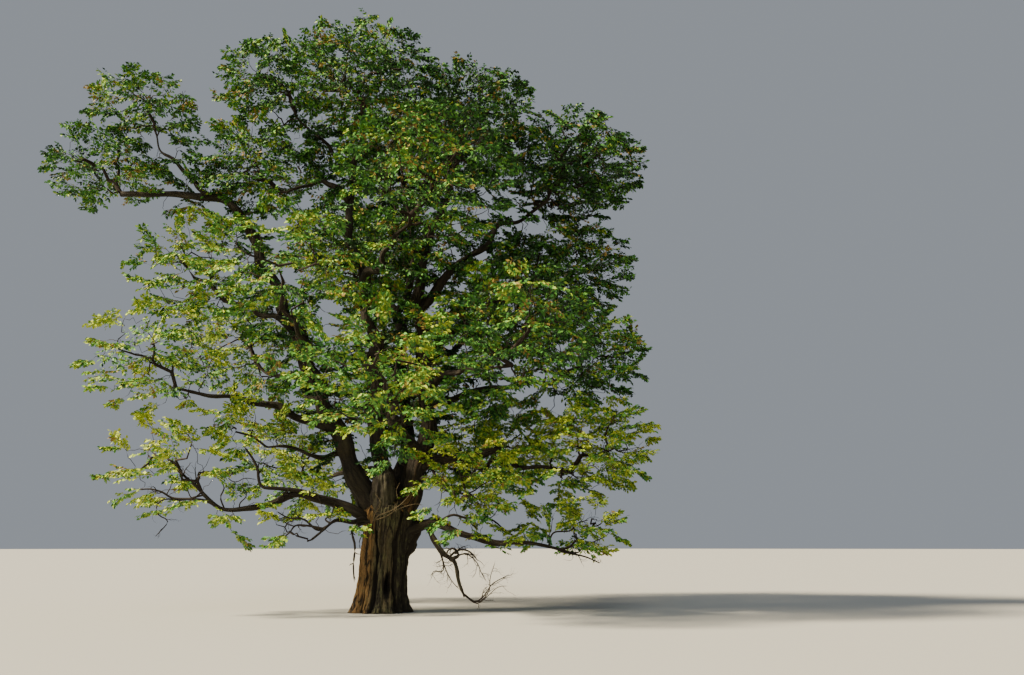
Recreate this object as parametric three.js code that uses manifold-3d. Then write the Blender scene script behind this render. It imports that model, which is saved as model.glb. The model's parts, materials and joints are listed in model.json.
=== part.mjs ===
// A veteran European white elm, about 21.5 m tall: a short stout trunk that forks low into four
// stems, long low boughs on both sides, and a broad open crown of 28 masses of foliage.
// Millimetres, +Z up. The origin is on the flat cut at ground level, in the middle of the trunk.
// +X is to the right of the tree as it is seen from the front, and +Y points away from the viewer.

import * as THREE from "three";
import { mergeVertices } from "three/addons/utils/BufferGeometryUtils.js";
import Module from "manifold-3d";

const wasm = await Module();
wasm.setup();

const METRE = 1000;
const DEGREE = Math.PI / 180;
const UP = new THREE.Vector3(0, 0, 1);

// Driving dimensions.
const SEAM = 0.3; // clearance between neighbouring pieces
const TRUNK = {
  height: 3750,
  radius: 790,
  lean: 0.05, // sideways shift for each unit of height
  flare: 250, // extra radius at the ground
  flareHeight: 480,
  shoulder: 150, // extra radius where the lowest boughs leave
  shoulderHeight: 2600,
  sides: 22,
  rings: 12,
};
const ROOTS = [
  // heading in degrees, how far the root ridge stands out, and its half width in degrees
  { heading: 186, reach: 230, half: 20 },
  { heading: 248, reach: 150, half: 15 },
  { heading: 292, reach: 110, half: 17 },
  { heading: 350, reach: 170, half: 19 },
  { heading: 62, reach: 160, half: 22 },
  { heading: 124, reach: 170, half: 20 },
];
const BURL = { heading: 352, height: 2150, reach: 230, half: 15, tall: 210 };
const MASS_FLATNESS = 0.8; // height of a mass of foliage over its width
const TIP_SHARE = 0.28; // radius of a bough's tip over its foot
const COLLAR = 0.35; // how much wider a bough is where it leaves its parent
const CROOK = 0.022; // depth of a bough's seeded kinks over its length
const LEAF = { length: 2000, width: 1400, thick: 110, widest: 0.4 };
const LEAF_SCALES = [1, 0.84, 0.7, 0.56, 0.44];
const TWIGS = {
  count: 7, // in a mass of the spread below
  atSpread: 2.8,
  thinnest: 46,
  taper: 0.76,
  margin: 0.27, // from a twig's end to the edge of its mass's space, over the mass's spread
  roundabout: 0.45, // how much the way along the twigs weighs against the straight way
  fork: 0.86, // share of a twig at which the next ones leave it
};
const CLEAR = 40; // least gap from a leaf or twig to a limb or to the next mass's space

// Every bough ends where it enters its own mass of foliage, whose middle lies at a heading in
// degrees (0 right, 90 away, 180 left, 270 towards the viewer), a reach from the trunk's axis
// and a height, with a spread, all in metres. thick is the radius at the bough's foot, which is
// a share `at` along its parent, and on the trunk stands off its axis by `stand`. bow lifts the
// bough's middle and sway swings it to the side. lifts, where given, are the heights of four
// knees over the line from foot to tip, for a bough whose course shows plainly.
const BOUGHS = [
  { name: "left_stem", from: "trunk", at: 0.9, heading: 174, reach: 10.7, height: 16.2,
    spread: 2.25, thick: 0.34, stand: [-0.42, 0], lifts: [0.65, 1.5, 2.3, 2.8] },
  { name: "centre_stem", from: "trunk", at: 0.92, heading: 205, reach: 1.3, height: 19.3,
    spread: 3.05, thick: 0.32, stand: [-0.05, 0.3], lifts: [-0.05, -0.2, -0.6, -0.6] },
  { name: "right_stem", from: "trunk", at: 0.9, heading: 352, reach: 2.7, height: 18.1,
    spread: 2.9, thick: 0.35, stand: [0.45, -0.05], lifts: [-0.5, 0.1, 0.6, 0.5] },
  { name: "back_stem", from: "trunk", at: 0.92, heading: 80, reach: 3.2, height: 18.0,
    spread: 3.1, thick: 0.3, stand: [0.15, 0.45], bow: -0.6, sway: 0.2 },
  { name: "low_left", from: "trunk", at: 0.76, heading: 192, reach: 7.2, height: 4.9,
    spread: 2.35, thick: 0.2, stand: [-0.3, -0.1], lifts: [0.45, 0.65, 0.25, -0.25] },
  { name: "low_right", from: "trunk", at: 0.66, heading: 345, reach: 7.0, height: 2.75,
    spread: 1.7, thick: 0.18, stand: [0.3, -0.1], lifts: [0.5, 0.4, 0.1, 0.2] },
  { name: "low_left_twiggy", from: "trunk", at: 0.8, heading: 215, reach: 3.5, height: 2.9,
    spread: 1.35, thick: 0.11, stand: [-0.4, -0.3], lifts: [0.25, 0.35, 0.3, 0.2] },
  { name: "left_lower", from: "left_stem", at: 0.12, heading: 184, reach: 4.9, height: 6.4,
    spread: 1.9, thick: 0.12, lifts: [0.2, -0.05, 0.25, 0.2] },
  { name: "left_mid", from: "left_stem", at: 0.2, heading: 184, reach: 8.0, height: 8.6,
    spread: 2.65, thick: 0.18, lifts: [0.1, 0.3, 0.2, 0.1] },
  { name: "left_upper", from: "left_stem", at: 0.4, heading: 176, reach: 6.8, height: 12.2,
    spread: 2.75, thick: 0.15, lifts: [0.45, 0.55, 0.45, 0.25] },
  { name: "upper_left_tuft", from: "left_stem", at: 0.84, heading: 174, reach: 9.5, height: 18.4,
    spread: 2.15, thick: 0.11, bow: -0.2, sway: 0.1 },
  { name: "front_left_mid", from: "left_stem", at: 0.34, heading: 238, reach: 6.2, height: 10.7,
    spread: 2.9, thick: 0.16, bow: 0.3, sway: 0 },
  { name: "front_low", from: "right_stem", at: 0.15, heading: 268, reach: 6.6, height: 7.3,
    spread: 2.85, thick: 0.2, bow: 0.5, sway: 0.3 },
  { name: "right_low", from: "right_stem", at: 0.12, heading: 354, reach: 7.5, height: 5.8,
    spread: 2.45, thick: 0.19, lifts: [0.3, 0.5, 0.5, 0.2] },
  { name: "right_lower_inner", from: "right_stem", at: 0.08, heading: 318, reach: 4.0, height: 4.4,
    spread: 1.85, thick: 0.11, lifts: [0.35, 0.45, 0.4, 0.25] },
  { name: "right_mid", from: "right_stem", at: 0.3, heading: 2, reach: 7.3, height: 9.2,
    spread: 2.6, thick: 0.16, lifts: [-0.1, 0.05, 0.15, 0.15] },
  { name: "right_upper", from: "right_stem", at: 0.42, heading: 8, reach: 7.1, height: 12.8,
    spread: 2.5, thick: 0.15, lifts: [0.3, 0.5, 0.65, 0.5] },
  { name: "right_shoulder", from: "right_stem", at: 0.54, heading: 358, reach: 6.9, height: 16.5,
    spread: 2.8, thick: 0.18, lifts: [0.15, 0.35, 0.25, 0.1] },
  { name: "front_right_mid", from: "right_stem", at: 0.34, heading: 308, reach: 6.6, height: 9.0,
    spread: 2.8, thick: 0.16, bow: 0.2, sway: 0 },
  { name: "front_upper", from: "centre_stem", at: 0.56, heading: 284, reach: 5.0, height: 14.2,
    spread: 3.1, thick: 0.16, bow: 0.2, sway: 0 },
  { name: "upper_left", from: "centre_stem", at: 0.8, heading: 178, reach: 5.0, height: 16.1,
    spread: 2.5, thick: 0.14, lifts: [0.4, 0.7, 0.6, 0.3] },
  { name: "top_left", from: "centre_stem", at: 0.84, heading: 176, reach: 4.3, height: 19.3,
    spread: 2.5, thick: 0.1, bow: 0.2, sway: 0 },
  { name: "back_upper", from: "back_stem", at: 0.55, heading: 100, reach: 6.4, height: 14.9,
    spread: 3.3, thick: 0.16, bow: 0.2, sway: 0 },
  { name: "back_left_mid", from: "left_stem", at: 0.28, heading: 138, reach: 7.6, height: 10.4,
    spread: 3.0, thick: 0.17, bow: 0.2, sway: 0 },
  { name: "back_mid", from: "back_stem", at: 0.34, heading: 88, reach: 7.6, height: 9.8,
    spread: 3.0, thick: 0.17, bow: 0.3, sway: 0 },
  { name: "back_right_mid", from: "right_stem", at: 0.4, heading: 40, reach: 7.0, height: 12.3,
    spread: 3.1, thick: 0.17, bow: 0.2, sway: 0 },
  { name: "back_low_left", from: "back_stem", at: 0.1, heading: 122, reach: 7.0, height: 5.8,
    spread: 2.7, thick: 0.17, bow: 0.3, sway: 0 },
  { name: "back_low_right", from: "back_stem", at: 0.14, heading: 50, reach: 7.2, height: 6.4,
    spread: 2.8, thick: 0.17, bow: 0.3, sway: 0 },
];

// The stump of the old leader, barkless and broken off, stands in the fork.
const LEADER = { base: [0.0, -0.42, 3.2], top: [-0.02, -0.5, 4.8], radius: 0.42, sides: 10, rings: 4 };
// The dead limb hangs from under the low right bough down to the ground.
const DEAD_LIMB = {
  start: 0.2, // share of the way along the low right bough
  // Its knees, and the ends of its side twigs from where they leave it, in metres.
  knees: [
    [0.25, -0.1, -0.55],
    [0.55, -0.2, -1.0],
    [0.95, -0.25, -1.3],
    [1.1, -0.3, -1.95],
    [1.3, -0.35, -2.45],
  ],
  thick: 0.09,
  forks: [
    { at: 0.5, reach: [0.75, 0.1, 0.12], thick: 0.04 },
    { at: 0.62, reach: [0.5, -0.25, -0.75], thick: 0.035 },
    { at: 0.38, reach: [-0.25, 0.2, -0.7], thick: 0.035 },
    { at: 0.9, reach: [0.95, -0.1, 0.55], thick: 0.035 },
  ],
};

// A repeatable stream of numbers from 0 to 1.
function seeded(seed) {
  let state = (seed * 7919 + 104729) % 2147483647;
  return () => (state = (state * 16807) % 2147483647) / 2147483647;
}

const polar = (heading, reach, height) =>
  new THREE.Vector3(
    Math.cos(heading * DEGREE) * reach * METRE,
    Math.sin(heading * DEGREE) * reach * METRE,
    height * METRE,
  );

// The trunk

const trunkAxis = (z) => new THREE.Vector3(TRUNK.lean * z, 0, z);
const ease = (x) => {
  const c = Math.min(1, Math.max(0, x));
  return c * c * (3 - 2 * c);
};
const apart = (a, b) => Math.abs(((((a - b) % 360) + 540) % 360) - 180);
const bump = (offset, half) => Math.exp(-((offset / half) ** 2));

// Radius of the trunk at a heading in degrees and a height.
function trunkRadius(heading, z) {
  const low = Math.exp(-z / TRUNK.flareHeight);
  const rise = ease((z - TRUNK.shoulderHeight) / (TRUNK.height - TRUNK.shoulderHeight));
  let r = TRUNK.radius + TRUNK.flare * low * 0.6 + TRUNK.shoulder * rise;
  for (const root of ROOTS) r += root.reach * low * bump(apart(heading, root.heading), root.half);
  r += 26 * Math.cos(5 * heading * DEGREE + 1.1) + 18 * Math.cos(9 * heading * DEGREE + z / 900);
  r += BURL.reach * bump(apart(heading, BURL.heading), BURL.half) * bump(z - BURL.height, BURL.tall);
  const dome = Math.max(0, (z - TRUNK.height * 0.86) / (TRUNK.height * 0.14));
  return r * Math.sqrt(1 - 0.72 * dome * dome);
}

// A closed cylinder of three.js, with each vertex moved by place(share along, x, z).
function shapedCylinder(sides, rings, place) {
  const geometry = new THREE.CylinderGeometry(1, 1, 1, sides, rings);
  const spots = geometry.getAttribute("position");
  const v = new THREE.Vector3();
  for (let i = 0; i < spots.count; i++) {
    v.fromBufferAttribute(spots, i);
    const moved = place(v.y + 0.5, v.x, v.z);
    spots.setXYZ(i, moved.x, moved.y, moved.z);
  }
  return geometry;
}

function trunkGeometry(grow = 0) {
  return shapedCylinder(TRUNK.sides, TRUNK.rings, (share, x, z) => {
    const height = TRUNK.height * share ** 1.15;
    const across = new THREE.Vector3(x, -z, 0);
    const heading = Math.atan2(across.y, across.x) / DEGREE;
    const lift = share > 0.999 ? grow : 0;
    return trunkAxis(height)
      .addScaledVector(across, trunkRadius(heading, height) + grow)
      .addScaledVector(UP, lift);
  });
}

// Solids

// A manifold solid of a closed geometry.
function solidOf(geometry) {
  geometry.deleteAttribute("normal");
  geometry.deleteAttribute("uv");
  const merged = mergeVertices(geometry, 1e-3);
  return new wasm.Manifold(
    new wasm.Mesh({
      numProp: 3,
      vertProperties: merged.getAttribute("position").array,
      triVerts: new Uint32Array(merged.index.array),
    }),
  );
}

function geometryOf(solid) {
  const mesh = solid.getMesh();
  const geometry = new THREE.BufferGeometry();
  geometry.setAttribute("position", new THREE.BufferAttribute(new Float32Array(mesh.vertProperties), 3));
  geometry.setIndex(new THREE.BufferAttribute(new Uint32Array(mesh.triVerts), 1));
  geometry.computeVertexNormals();
  return geometry;
}

const largest = (solid) => solid.decompose().reduce((a, b) => (b.volume() > a.volume() ? b : a));

const boxesNear = (a, b, gap) =>
  [0, 1, 2].every((k) => a.min[k] - gap < b.max[k] && b.min[k] - gap < a.max[k]);

// A round tapering tube of flat-faced sides along a curve, with flat ends square to it.
// With two rings, knee is the share along at which the middle one stands. The whole is grown
// outwards by grow, so that what is cut with it stays clear.
function tubeGeometry(curve, radiusAt, sides, rings, { knee = 0.5, grow = 0 } = {}) {
  const frames = [];
  let normal = new THREE.Vector3(0.31, 0.87, 0.38);
  for (let k = 0; k <= rings; k++) {
    const share = rings === 2 && k === 1 ? knee : k / rings;
    const along = curve.getTangent(share).normalize();
    normal = normal.clone().addScaledVector(along, -normal.dot(along)).normalize();
    const side = normal.clone().cross(along);
    const middle = curve.getPoint(share);
    if (k === 0 || k === rings) middle.addScaledVector(along, k ? grow : -grow);
    frames.push({ middle, normal, side, r: radiusAt(share) + grow });
  }
  return shapedCylinder(sides, rings, (share, x, z) => {
    const { middle, normal: n, side, r } = frames[Math.round(share * rings)];
    return middle.clone().addScaledVector(n, x * r).addScaledVector(side, z * r);
  });
}

const limbRadius = (thick) => (share) =>
  thick * METRE * (TIP_SHARE + (1 - TIP_SHARE) * (1 - share) ** 1.1 + (share === 0 ? COLLAR : 0));

// Boughs

const massCentre = (bough) => polar(bough.heading, bough.reach, bough.height);

// Where a bough ends: the near, lower side of its mass.
function boughTip(bough, foot) {
  const centre = massCentre(bough);
  const towards = centre.clone().sub(foot).normalize();
  const spread = bough.spread * METRE;
  return new THREE.Vector3(
    centre.x - 0.5 * spread * towards.x,
    centre.y - 0.5 * spread * towards.y,
    centre.z - MASS_FLATNESS * spread * (0.45 + 0.25 * towards.z),
  );
}

// The line of a bough: a chord from foot to tip, bowed up, swayed sideways and kinked at four knees.
function boughCurve(bough, index, foot) {
  const tip = boughTip(bough, foot);
  const chord = tip.clone().sub(foot);
  const length = chord.length();
  const along = chord.clone().normalize();
  const up = UP.clone().addScaledVector(along, -along.z).normalize();
  const side = along.clone().cross(up);
  const points = [foot.clone()];
  for (let k = 1; k <= 4; k++) {
    const share = k / 5;
    const arch = 4 * share * (1 - share);
    const lift = bough.lifts
      ? bough.lifts[k - 1] * METRE
      : bough.bow * METRE * arch + CROOK * length * Math.sin(5.3 * index + 2.7 * k);
    const swing = (bough.sway ?? 0) * METRE * arch + CROOK * length * Math.cos(3.1 * index + 3.9 * k);
    const point = foot.clone().addScaledVector(chord, share);
    points.push(point.addScaledVector(up, lift).addScaledVector(side, swing));
  }
  points.push(tip);
  return new THREE.CatmullRomCurve3(points, false, "catmullrom", 0.5);
}

const curves = new Map();
BOUGHS.forEach((bough, index) => {
  const [x, y] = bough.stand ?? [0, 0];
  const foot =
    bough.from === "trunk"
      ? trunkAxis(TRUNK.height * bough.at).add(new THREE.Vector3(x, y, 0).multiplyScalar(METRE))
      : curves.get(bough.from).getPoint(bough.at);
  curves.set(bough.name, boughCurve(bough, index, foot));
});

// Limbs are cut clear of every limb made before them, and keep their largest piece.
const limbs = [];
function addLimb(name, shape) {
  let solid = shape(0);
  for (const earlier of limbs) {
    if (boxesNear(earlier.solid.boundingBox(), solid.boundingBox(), 1))
      solid = solid.subtract(earlier.cutter);
  }
  solid = largest(solid);
  limbs.push({ name, solid, cutter: shape(SEAM) });
}

addLimb("trunk", (grow) => solidOf(trunkGeometry(grow)));

addLimb("broken_leader", (grow) => {
  const base = new THREE.Vector3(...LEADER.base).multiplyScalar(METRE);
  const top = new THREE.Vector3(...LEADER.top).multiplyScalar(METRE);
  const line = new THREE.LineCurve3(base, top);
  const rounded = (share) => LEADER.radius * METRE * Math.sqrt(1 - 0.8 * share ** 6);
  return solidOf(tubeGeometry(line, rounded, LEADER.sides, LEADER.rings, { grow }));
});

for (const bough of BOUGHS) {
  const stem = bough.thick > 0.25;
  const sides = stem ? 7 : 5;
  const rings = stem ? 8 : 5;
  addLimb(bough.name, (grow) =>
    solidOf(tubeGeometry(curves.get(bough.name), limbRadius(bough.thick), sides, rings, { grow })),
  );
}

function deadLimb(grow) {
  const start = curves.get("low_right").getPoint(DEAD_LIMB.start);
  const reach = (offset) => new THREE.Vector3(...offset).multiplyScalar(METRE);
  const line = new THREE.CatmullRomCurve3(
    [start, ...DEAD_LIMB.knees.map((knee) => start.clone().add(reach(knee)))],
    false,
    "catmullrom",
    0.5,
  );
  const radius = (share) => DEAD_LIMB.thick * METRE * (1 - 0.62 * share);
  const pieces = [solidOf(tubeGeometry(line, radius, 6, 7, { grow }))];
  for (const fork of DEAD_LIMB.forks) {
    const from = line.getPoint(fork.at);
    const thick = fork.thick * METRE + grow;
    pieces.push(twigSolid(from, from.clone().add(reach(fork.reach)), thick, thick * 0.5));
  }
  return wasm.Manifold.union(pieces);
}
addLimb("dead_limb", deadLimb);

// Foliage

// Masses are round in a space whose heights are stretched, so flat planes part them.
const stretched = (p) => new THREE.Vector3(p.x, p.y, p.z / MASS_FLATNESS);
const masses = BOUGHS.map((bough) => ({
  middle: stretched(massCentre(bough)),
  spread: bough.spread * METRE,
}));

// How far inside its own mass's space a point lies, by the nearest of its outer skin and the parting planes.
function depthInside(index, point) {
  const own = masses[index];
  const p = stretched(point);
  const away = p.distanceTo(own.middle);
  let depth = own.spread - away;
  masses.forEach((other, j) => {
    const between = own.middle.distanceTo(other.middle);
    if (j === index || between > own.spread + other.spread) return;
    const power = p.distanceToSquared(other.middle) - other.spread ** 2 - (away ** 2 - own.spread ** 2);
    depth = Math.min(depth, power / (2 * between));
  });
  return depth;
}

function touchesLimb(solid) {
  const box = solid.boundingBox();
  return limbs.some(
    (limb) => boxesNear(limb.solid.boundingBox(), box, CLEAR) && limb.solid.minGap(solid, CLEAR) < CLEAR,
  );
}

// A straight three-sided twig. Its foot is a point on the axis of what carries it, so that it
// widens on the way out; the stem of a mass has a flat foot instead.
function twigSolid(from, to, thickFrom, thickTo, flatFoot = false) {
  const length = from.distanceTo(to);
  const knee = flatFoot ? 0.5 : Math.min(0.3, (1.3 * thickFrom) / length);
  const radius = (share) => (share === 0 && !flatFoot ? 0 : thickFrom + (thickTo - thickFrom) * share);
  return solidOf(tubeGeometry(new THREE.LineCurve3(from, to), radius, 3, 2, { knee })).simplify(0.1);
}

// A leaf of six faces, flat below and ridged above, which stands for a spray of leaves.
function leafSolid(root, towards, roll, scale) {
  const geometry = new THREE.ConeGeometry(1, 1, 4, 1);
  const spots = geometry.getAttribute("position");
  const across = towards.clone().cross(UP).normalize().applyAxisAngle(towards, roll);
  const frame = new THREE.Matrix4().makeBasis(across, towards, across.clone().cross(towards));
  const v = new THREE.Vector3();
  for (let i = 0; i < spots.count; i++) {
    v.fromBufferAttribute(spots, i);
    const along = Math.abs(v.z) > 0.5 ? (v.z + 1) / 2 : LEAF.widest;
    v.set(-v.x * 0.5 * LEAF.width * scale, along * LEAF.length * scale, v.y > 0 ? LEAF.thick : 0);
    v.applyMatrix4(frame).add(root);
    spots.setXYZ(i, v.x, v.y, v.z);
  }
  return solidOf(geometry).simplify(0.1);
}

function cornersOf(solid) {
  const { vertProperties, numVert } = solid.getMesh();
  return Array.from({ length: numVert }, (_, i) => new THREE.Vector3().fromArray(vertProperties, 3 * i));
}

const fits = (index, solid) =>
  cornersOf(solid).every((corner) => depthInside(index, corner) > CLEAR) && !touchesLimb(solid);

// Points inside a mass, each as far as can be from those before it and from the first.
function spreadPoints(index, bough, first, count, random) {
  const centre = massCentre(bough);
  const margin = TWIGS.margin * bough.spread * METRE;
  const offered = [];
  for (let tries = 0; tries < 6000 && offered.length < 500; tries++) {
    const p = new THREE.Vector3(random() * 2 - 1, random() * 2 - 1, (random() * 2 - 1) * MASS_FLATNESS);
    p.multiplyScalar(bough.spread * METRE).add(centre);
    if (depthInside(index, p) > margin) offered.push({ p, room: p.distanceTo(first) });
  }
  const kept = [];
  while (kept.length < count && offered.length) {
    const next = offered.reduce((a, b) => (b.room > a.room ? b : a)).p;
    kept.push(next);
    for (const other of offered) other.room = Math.min(other.room, other.p.distanceTo(next));
  }
  return kept;
}

// Twigs reach evenly spread points in turn, the nearest first. Each leaves the standing twig
// that gives it a short way, both from there and from the mass's stem.
function growTwigs(bough, index, random) {
  const curve = curves.get(bough.name);
  const way = curve.getTangent(1).normalize();
  const root = curve.getPoint(1).addScaledVector(way, SEAM);
  const stout = limbRadius(bough.thick)(1) * 0.95;
  const end = root.clone().addScaledVector(way, 0.16 * bough.spread * METRE);
  const first = root.clone().lerp(end, TWIGS.fork);
  const nodes = [{ at: first, travelled: first.distanceTo(root), thick: stout * 0.85 }];
  const twigs = [{ solid: twigSolid(root, end, stout, stout * 0.85, true) }];

  const count = Math.max(3, Math.round(TWIGS.count * (bough.spread / TWIGS.atSpread) ** 2));
  const targets = spreadPoints(index, bough, first, count, random);
  targets.sort((a, b) => a.distanceTo(root) - b.distanceTo(root));
  for (const target of targets) {
    const cost = (node) => node.at.distanceTo(target) + TWIGS.roundabout * node.travelled;
    const parent = nodes.reduce((a, b) => (cost(b) < cost(a) ? b : a));
    const thick = Math.max(TWIGS.thinnest, parent.thick * TWIGS.taper);
    const solid = twigSolid(parent.at, target, Math.min(parent.thick, thick * 1.15), thick);
    if (!fits(index, solid)) continue;
    parent.carries = true;
    const at = parent.at.clone().lerp(target, TWIGS.fork);
    const node = { at, travelled: parent.travelled + parent.at.distanceTo(at), thick };
    nodes.push(node);
    const heading = target.clone().sub(parent.at).normalize();
    twigs.push({ from: parent.at, to: target, solid, thick, way: heading, end: node });
  }
  return twigs;
}

// Leaves stand on a twig in turn to its left and right, and one ends each twig that carries no other.
// A leaf that finds no room is turned or made smaller, and left off when that doesn't help.
function growLeaves(twigs, index, random) {
  const leaves = [];
  const clearOf = (leaf) => {
    const box = leaf.boundingBox();
    return leaves.every((other) => !boxesNear(other.boundingBox(), box, 1) || other.minGap(leaf, 1) > 0);
  };
  let hand = 1;
  const grow = (twig, share, way, turns) => {
    const roll = (random() - 0.5) * 2.2;
    for (const turn of turns) {
      const towards = way.clone().applyAxisAngle(UP, turn * DEGREE);
      const root = twig.from.clone().lerp(twig.to, share).addScaledVector(towards, -0.4 * twig.thick);
      for (const scale of LEAF_SCALES) {
        const leaf = leafSolid(root, towards, roll, scale);
        if (!fits(index, leaf) || !clearOf(leaf)) continue;
        leaves.push(leaf);
        return;
      }
    }
  };
  for (const twig of twigs.slice(1)) {
    if (!twig.end.carries) grow(twig, 0.98, twig.way, [0, 18, -18]);
    for (const share of [0.88, 0.48]) {
      const flat = twig.way.clone().setZ(twig.way.z * 0.5 - 0.1 - 0.35 * random()).normalize();
      grow(twig, share, flat, [58 * hand, 80 * hand, 108 * hand]);
      hand = -hand;
    }
  }
  return leaves;
}

function foliageSolid(bough, index) {
  const random = seeded(index + 1);
  const twigs = growTwigs(bough, index, random);
  const leaves = growLeaves(twigs, index, random);
  const fused = wasm.Manifold.union([...twigs.map((twig) => twig.solid), ...leaves]);
  return largest(fused).simplify(0.2);
}

// Materials and the assembled tree

const paint = (color, roughness) => new THREE.MeshStandardMaterial({ color, roughness, metalness: 0 });
const bark = paint(0x4a3d2c, 0.95);
const bareWood = paint(0x6b5a40, 0.85);
const sunnyLeaves = paint(0x7d9a2e, 0.6);
const shadyLeaves = paint(0x3c6b24, 0.6);

const tree = new THREE.Group();
function addNode(name, solid, material) {
  const mesh = new THREE.Mesh(geometryOf(solid), material);
  mesh.name = name;
  tree.add(mesh);
}

for (const limb of limbs) {
  const dead = limb.name === "broken_leader" || limb.name === "dead_limb";
  addNode(limb.name, limb.solid, dead ? bareWood : bark);
}
// The low sun stands to the left of the tree, so the leaves there are yellower.
BOUGHS.forEach((bough, index) => {
  const sunny = Math.cos(bough.heading * DEGREE) < -0.3;
  addNode(`foliage_${bough.name}`, foliageSolid(bough, index), sunny ? sunnyLeaves : shadyLeaves);
});

export default tree;
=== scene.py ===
"""A veteran European white elm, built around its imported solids.

Metres, +Z up, with the origin on the flat cut at ground level, in the middle of the trunk.
+X is to the right of the tree as it is seen from the front, and +Y points away from the viewer.
"""

import json
import math
from collections import namedtuple

import bpy
import numpy as np
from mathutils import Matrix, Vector

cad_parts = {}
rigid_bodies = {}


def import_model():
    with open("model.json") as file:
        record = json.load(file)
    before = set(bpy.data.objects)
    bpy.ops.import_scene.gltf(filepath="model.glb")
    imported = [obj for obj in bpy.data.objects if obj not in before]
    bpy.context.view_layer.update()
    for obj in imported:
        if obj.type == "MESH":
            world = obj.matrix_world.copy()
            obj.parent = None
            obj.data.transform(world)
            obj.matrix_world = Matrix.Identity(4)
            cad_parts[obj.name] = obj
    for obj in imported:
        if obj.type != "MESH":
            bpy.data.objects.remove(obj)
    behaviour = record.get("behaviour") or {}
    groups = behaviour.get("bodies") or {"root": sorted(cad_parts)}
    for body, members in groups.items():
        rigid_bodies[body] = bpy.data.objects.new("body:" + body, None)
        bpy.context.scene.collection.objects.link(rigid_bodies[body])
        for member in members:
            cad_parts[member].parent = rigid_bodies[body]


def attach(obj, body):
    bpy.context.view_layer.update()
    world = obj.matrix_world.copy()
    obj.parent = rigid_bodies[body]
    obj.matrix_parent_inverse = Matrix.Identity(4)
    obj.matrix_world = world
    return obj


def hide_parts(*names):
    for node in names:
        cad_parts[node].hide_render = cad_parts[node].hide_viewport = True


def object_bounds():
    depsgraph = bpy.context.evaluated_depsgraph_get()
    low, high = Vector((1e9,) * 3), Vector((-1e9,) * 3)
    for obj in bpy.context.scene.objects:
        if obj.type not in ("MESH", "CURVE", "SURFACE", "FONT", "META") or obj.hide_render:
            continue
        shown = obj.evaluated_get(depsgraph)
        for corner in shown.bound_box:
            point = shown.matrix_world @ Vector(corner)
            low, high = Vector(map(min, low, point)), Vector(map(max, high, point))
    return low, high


bl_info = {
    "name": "White elm",
    "version": (1, 0, 0),
    "blender": (4, 5, 0),
    "location": "3D View > Sidebar > White elm",
    "description": "Grows a veteran European white elm with furrowed limbs and leafy sprays",
    "category": "Add Mesh",
}

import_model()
CAD_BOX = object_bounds()

# Named sizes

TRUNK_HEIGHT = 3.75
TRUNK_LEAN = 0.05  # sideways shift for each metre of height
FLARE_HEIGHT = 0.48
SHOULDER = 0.15  # extra radius where the lowest boughs leave
SHOULDER_HEIGHT = 2.6
INSET = 0.01  # taken off the radius of the trunk and the leader
Root = namedtuple("Root", "heading reach half")
ROOTS = [
    Root(186, 0.23, 20),
    Root(248, 0.15, 15),
    Root(292, 0.11, 17),
    Root(350, 0.17, 19),
    Root(62, 0.16, 22),
    Root(124, 0.17, 20),
]
Swelling = namedtuple("Swelling", "heading height reach half tall")
BURL = Swelling(352, 2.15, 0.23, 15, 0.21)
HOLLOW = Swelling(282, 0.93, -0.42, 7, 0.36)
WEB = Swelling(346, 2.75, 0.4, 15, 0.45)  # from which the low right bough grows
# Deep grooves that part the trunk's columns, by heading in degrees, depth and half width
Groove = namedtuple("Groove", "heading depth half")
GROOVES = [
    Groove(249, 0.17, 4.5),
    Groove(303, 0.15, 5),
    Groove(336, 0.11, 5),
    Groove(222, 0.09, 3.5),
    Groove(183, 0.13, 5.5),
    Groove(137, 0.14, 6),
    Groove(96, 0.12, 5),
    Groove(52, 0.15, 6),
    Groove(14, 0.1, 5),
]
MASS_FLATNESS = 0.8  # height of a mass of foliage over its width
TIP_SHARE = 0.28  # radius of a bough's tip over its foot
COLLAR = 0.35  # how much wider a bough is where it leaves its parent
CROOK = 0.022  # depth of a bough's seeded kinks over its length
STRIDE = 0.75  # distance between the small crooks of a limb
CROOKEDNESS = 0.1  # depth of the small crooks
STEM_THICK = 0.25  # boughs thicker than this are the stems of the fork

# Seeds of the random draws. A bough's index is added to the first three.
CROOK_SEED = 900
GROWTH_SEED = 100
LEAF_SEED = 500
DEAD_SEED = 11
LOW_SEED = 23
FRONT_SEED = 31

# Sides and rings of the limbs' meshes
TRUNK_GRID = (320, 101)
LEADER_GRID = (96, 60)
STEM_GRID = (56, 101)
BOUGH_GRID = (22, 72)
DEAD_GRID = (20, 60)
BEND_POINTS = 90  # of the line that a limb is bent along

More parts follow.
